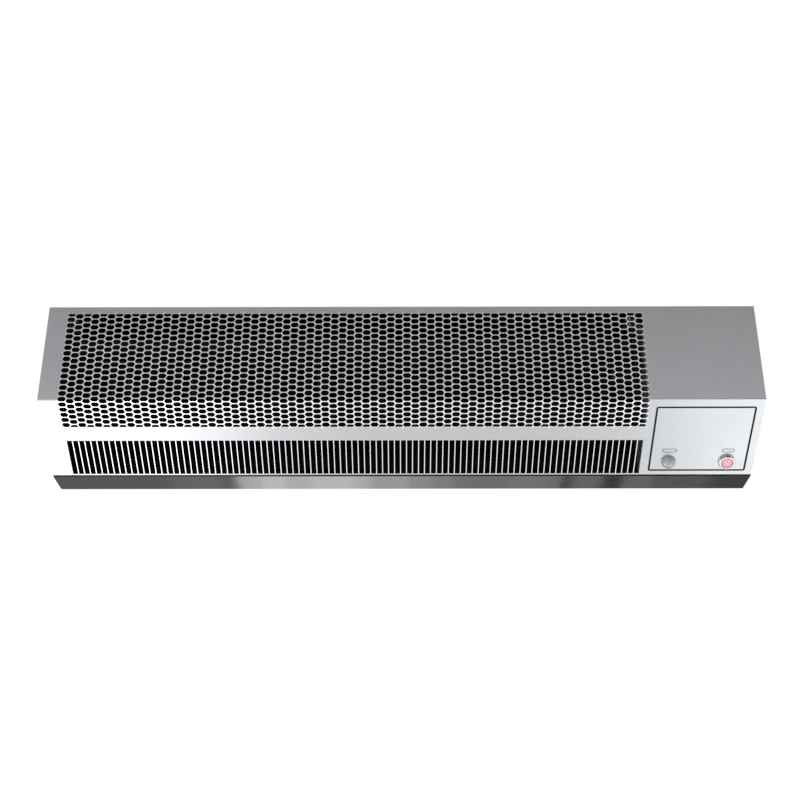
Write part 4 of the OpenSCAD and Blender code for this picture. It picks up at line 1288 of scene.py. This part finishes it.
@dataclass
class Studio:
    """Floor, sky, cards and camera. The unit hangs high, so the camera stands low and looks up.

    Lengths are metres here. A strip is a place and the brightness from there to the next strip.

    Args:
        floor_z: Height of the floor.
        floor_size: Length of its sides.
        floor_lift: Strength of the light that brings the floor near the background's white.
        camera_at: Place of the camera.
        camera_way: Direction in which it looks.
        lens: Its focal length, in millimetres.
        sensor: Width of its sensor, in millimetres.
        clip: Nearest and farthest distance that it sees.
        sky_level: Strength of the plain light from all sides.
        front_y: Place of the strips past the camera.
        front_length: Their length along X.
        front_strips: Height of each strip's lower side, and its brightness.
        cards: The cards in front of the unit and below it.
        rear_y: Place of the middle of the strips behind the unit.
        rear_z: Their height.
        rear_length: Their length along Y.
        rear_strips: Place of each strip's left side, and its brightness.
    """

    floor_z: float = -1.45
    floor_size: float = 40.0
    floor_lift: float = 0.26
    camera_at: tuple[float, float, float] = (0.0033, -1.5885, -0.7631)
    camera_way: tuple[float, float, float] = (-0.0032, 0.9002, 0.4354)
    lens: float = 58.18
    sensor: float = 36.0
    clip: Point2 = (0.05, 60.0)
    sky_level: float = 0.8
    front_y: float = -4.0
    front_length: float = 14.0
    front_strips: tuple[Point2, ...] = ((1.0, 0.95), (1.7, 0.42), (2.4, 0.2), (3.4, 0.5), (7.0, 0.0))
    cards: tuple[Card, ...] = (
        Card("low_card", (1.5, -3.2, -0.4), (2.4, 1.8), 90.0, 0.03),
        Card("left_card", (-1.24, 0.2, -1.4), (1.7, 1.4), 0.0, 2.2),
        Card("middle_card", (0.15, 0.2, -1.42), (1.8, 1.4), 0.0, 0.98),
        Card("right_card", (1.3, 0.2, -1.4), (1.3, 1.4), 0.0, 1.82),
    )
    rear_y: float = 3.9
    rear_z: float = -1.38
    rear_length: float = 5.2
    rear_strips: tuple[Point2, ...] = (
        (-1.9, 0.14), (-0.9, 0.2), (-0.7, 0.12), (-0.642, 0.7), (-0.547, 0.86),
        (-0.459, 0.72), (-0.36, 0.82), (-0.192, 0.72), (-0.131, 0.54), (0.021, 0.43),
        (0.105, 0.35), (0.189, 0.27), (0.257, 0.245), (0.41, 0.27), (0.55, 0.25),
        (0.611, 0.04), (0.65, 0.21), (0.768, 0.02), (0.844, 0.2), (0.962, 0.13),
        (1.187, 0.06), (1.9, 0.0),
    )

    @staticmethod
    def seen_rays(tree: bpy.types.NodeTree) -> bpy.types.NodeSocket:
        """Adds nodes that tell what the camera sees, also in metal and through glass, from light.

        Args:
            tree: The nodes of the world or of a material.

        Returns:
            1 for a camera, glossy or transmission ray, else 0.
        """
        ray = tree.nodes.new("ShaderNodeLightPath")
        total = ray.outputs["Is Camera Ray"]
        for name in ("Is Glossy Ray", "Is Transmission Ray"):
            join = tree.nodes.new("ShaderNodeMath")
            join.operation = "MAXIMUM"
            tree.links.new(total, join.inputs[0])
            tree.links.new(ray.outputs[name], join.inputs[1])
            total = join.outputs["Value"]
        return total

    def floor(self) -> None:
        """Lays the pale floor."""
        half = self.floor_size / 2
        mesh = bpy.data.meshes.new("floor")
        corners = [(-half, -half), (half, -half), (half, half), (-half, half)]
        mesh.from_pydata([(x, y, self.floor_z) for x, y in corners], [], [(0, 1, 2, 3)])
        obj = bpy.data.objects.new("floor", mesh)
        bpy.context.scene.collection.objects.link(obj)
        made = Finishes.get(Finishes.FLOOR)
        tree = made.node_tree
        shader = tree.nodes["Principled BSDF"]
        shader.inputs["Emission Color"].default_value = WHITE_LIGHT
        lift = tree.nodes.new("ShaderNodeMath")
        lift.operation = "MULTIPLY"
        lift.inputs[1].default_value = self.floor_lift
        tree.links.new(self.seen_rays(tree), lift.inputs[0])
        tree.links.new(lift.outputs["Value"], shader.inputs["Emission Strength"])
        mesh.materials.append(made)

    def sky(self) -> None:
        """Makes the plain light of the studio, and a white background."""
        world = bpy.data.worlds.new("studio")
        bpy.context.scene.world = world
        world.use_nodes = True
        tree = world.node_tree
        light = tree.nodes["Background"]
        light.inputs["Color"].default_value = WHITE_LIGHT
        light.inputs["Strength"].default_value = self.sky_level
        white = tree.nodes.new("ShaderNodeBackground")
        white.inputs["Color"].default_value = WHITE_LIGHT
        white.inputs["Strength"].default_value = 1.0
        mix = tree.nodes.new("ShaderNodeMixShader")
        tree.links.new(self.seen_rays(tree), mix.inputs["Fac"])
        tree.links.new(light.outputs["Background"], mix.inputs[1])
        tree.links.new(white.outputs["Background"], mix.inputs[2])
        tree.links.new(mix.outputs["Shader"], tree.nodes["World Output"].inputs["Surface"])

    def hang_cards(self) -> None:
        """Hangs the cards that the steel mirrors: some past the camera, more behind and below."""
        for i, ((low, level), (high, _)) in enumerate(zip(self.front_strips, self.front_strips[1:])):
            middle, size = (0.0, self.front_y, (low + high) / 2), (self.front_length, high - low)
            Card(f"front_card_{i}", middle, size, 90.0, level).hang()
        for card in self.cards:
            card.hang()
        for i, ((left, level), (right, _)) in enumerate(zip(self.rear_strips, self.rear_strips[1:])):
            middle, size = ((left + right) / 2, self.rear_y, self.rear_z), (right - left, self.rear_length)
            Card(f"rear_card_{i}", middle, size, 0.0, level).hang()

    def place_camera(self) -> None:
        """Places the camera at the photograph's angle."""
        data = bpy.data.cameras.new("camera")
        data.sensor_width = self.sensor
        data.lens = self.lens
        data.clip_start, data.clip_end = self.clip
        obj = bpy.data.objects.new("camera", data)
        obj.location = self.camera_at
        obj.rotation_mode = "QUATERNION"
        obj.rotation_quaternion = Vector(self.camera_way).to_track_quat("-Z", "Y")
        bpy.context.scene.collection.objects.link(obj)
        bpy.context.scene.camera = obj

    def build(self) -> None:
        """Sets up the whole studio."""
        self.floor()
        self.sky()
        self.hang_cards()
        self.place_camera()
        bpy.context.scene.view_settings.view_transform = "Standard"


def corners(box: tuple[Vector, Vector]) -> list[list[float]]:
    """A box's two corners as plain lists."""
    return [[float(c) for c in corner] for corner in box]


def main() -> None:
    """Builds every sub-assembly in order."""
    logging.basicConfig(level=logging.INFO, format="%(name)s: %(message)s")
    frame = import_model()
    nodes = frame["nodes"]
    FrontCover().build()
    ControlPanel().build(nodes)
    for assembly in (Casing(), FanUnit(), Motor(), Electrics()):
        assembly.build(nodes)
    Studio().build()


if __name__ == "__main__":
    main()
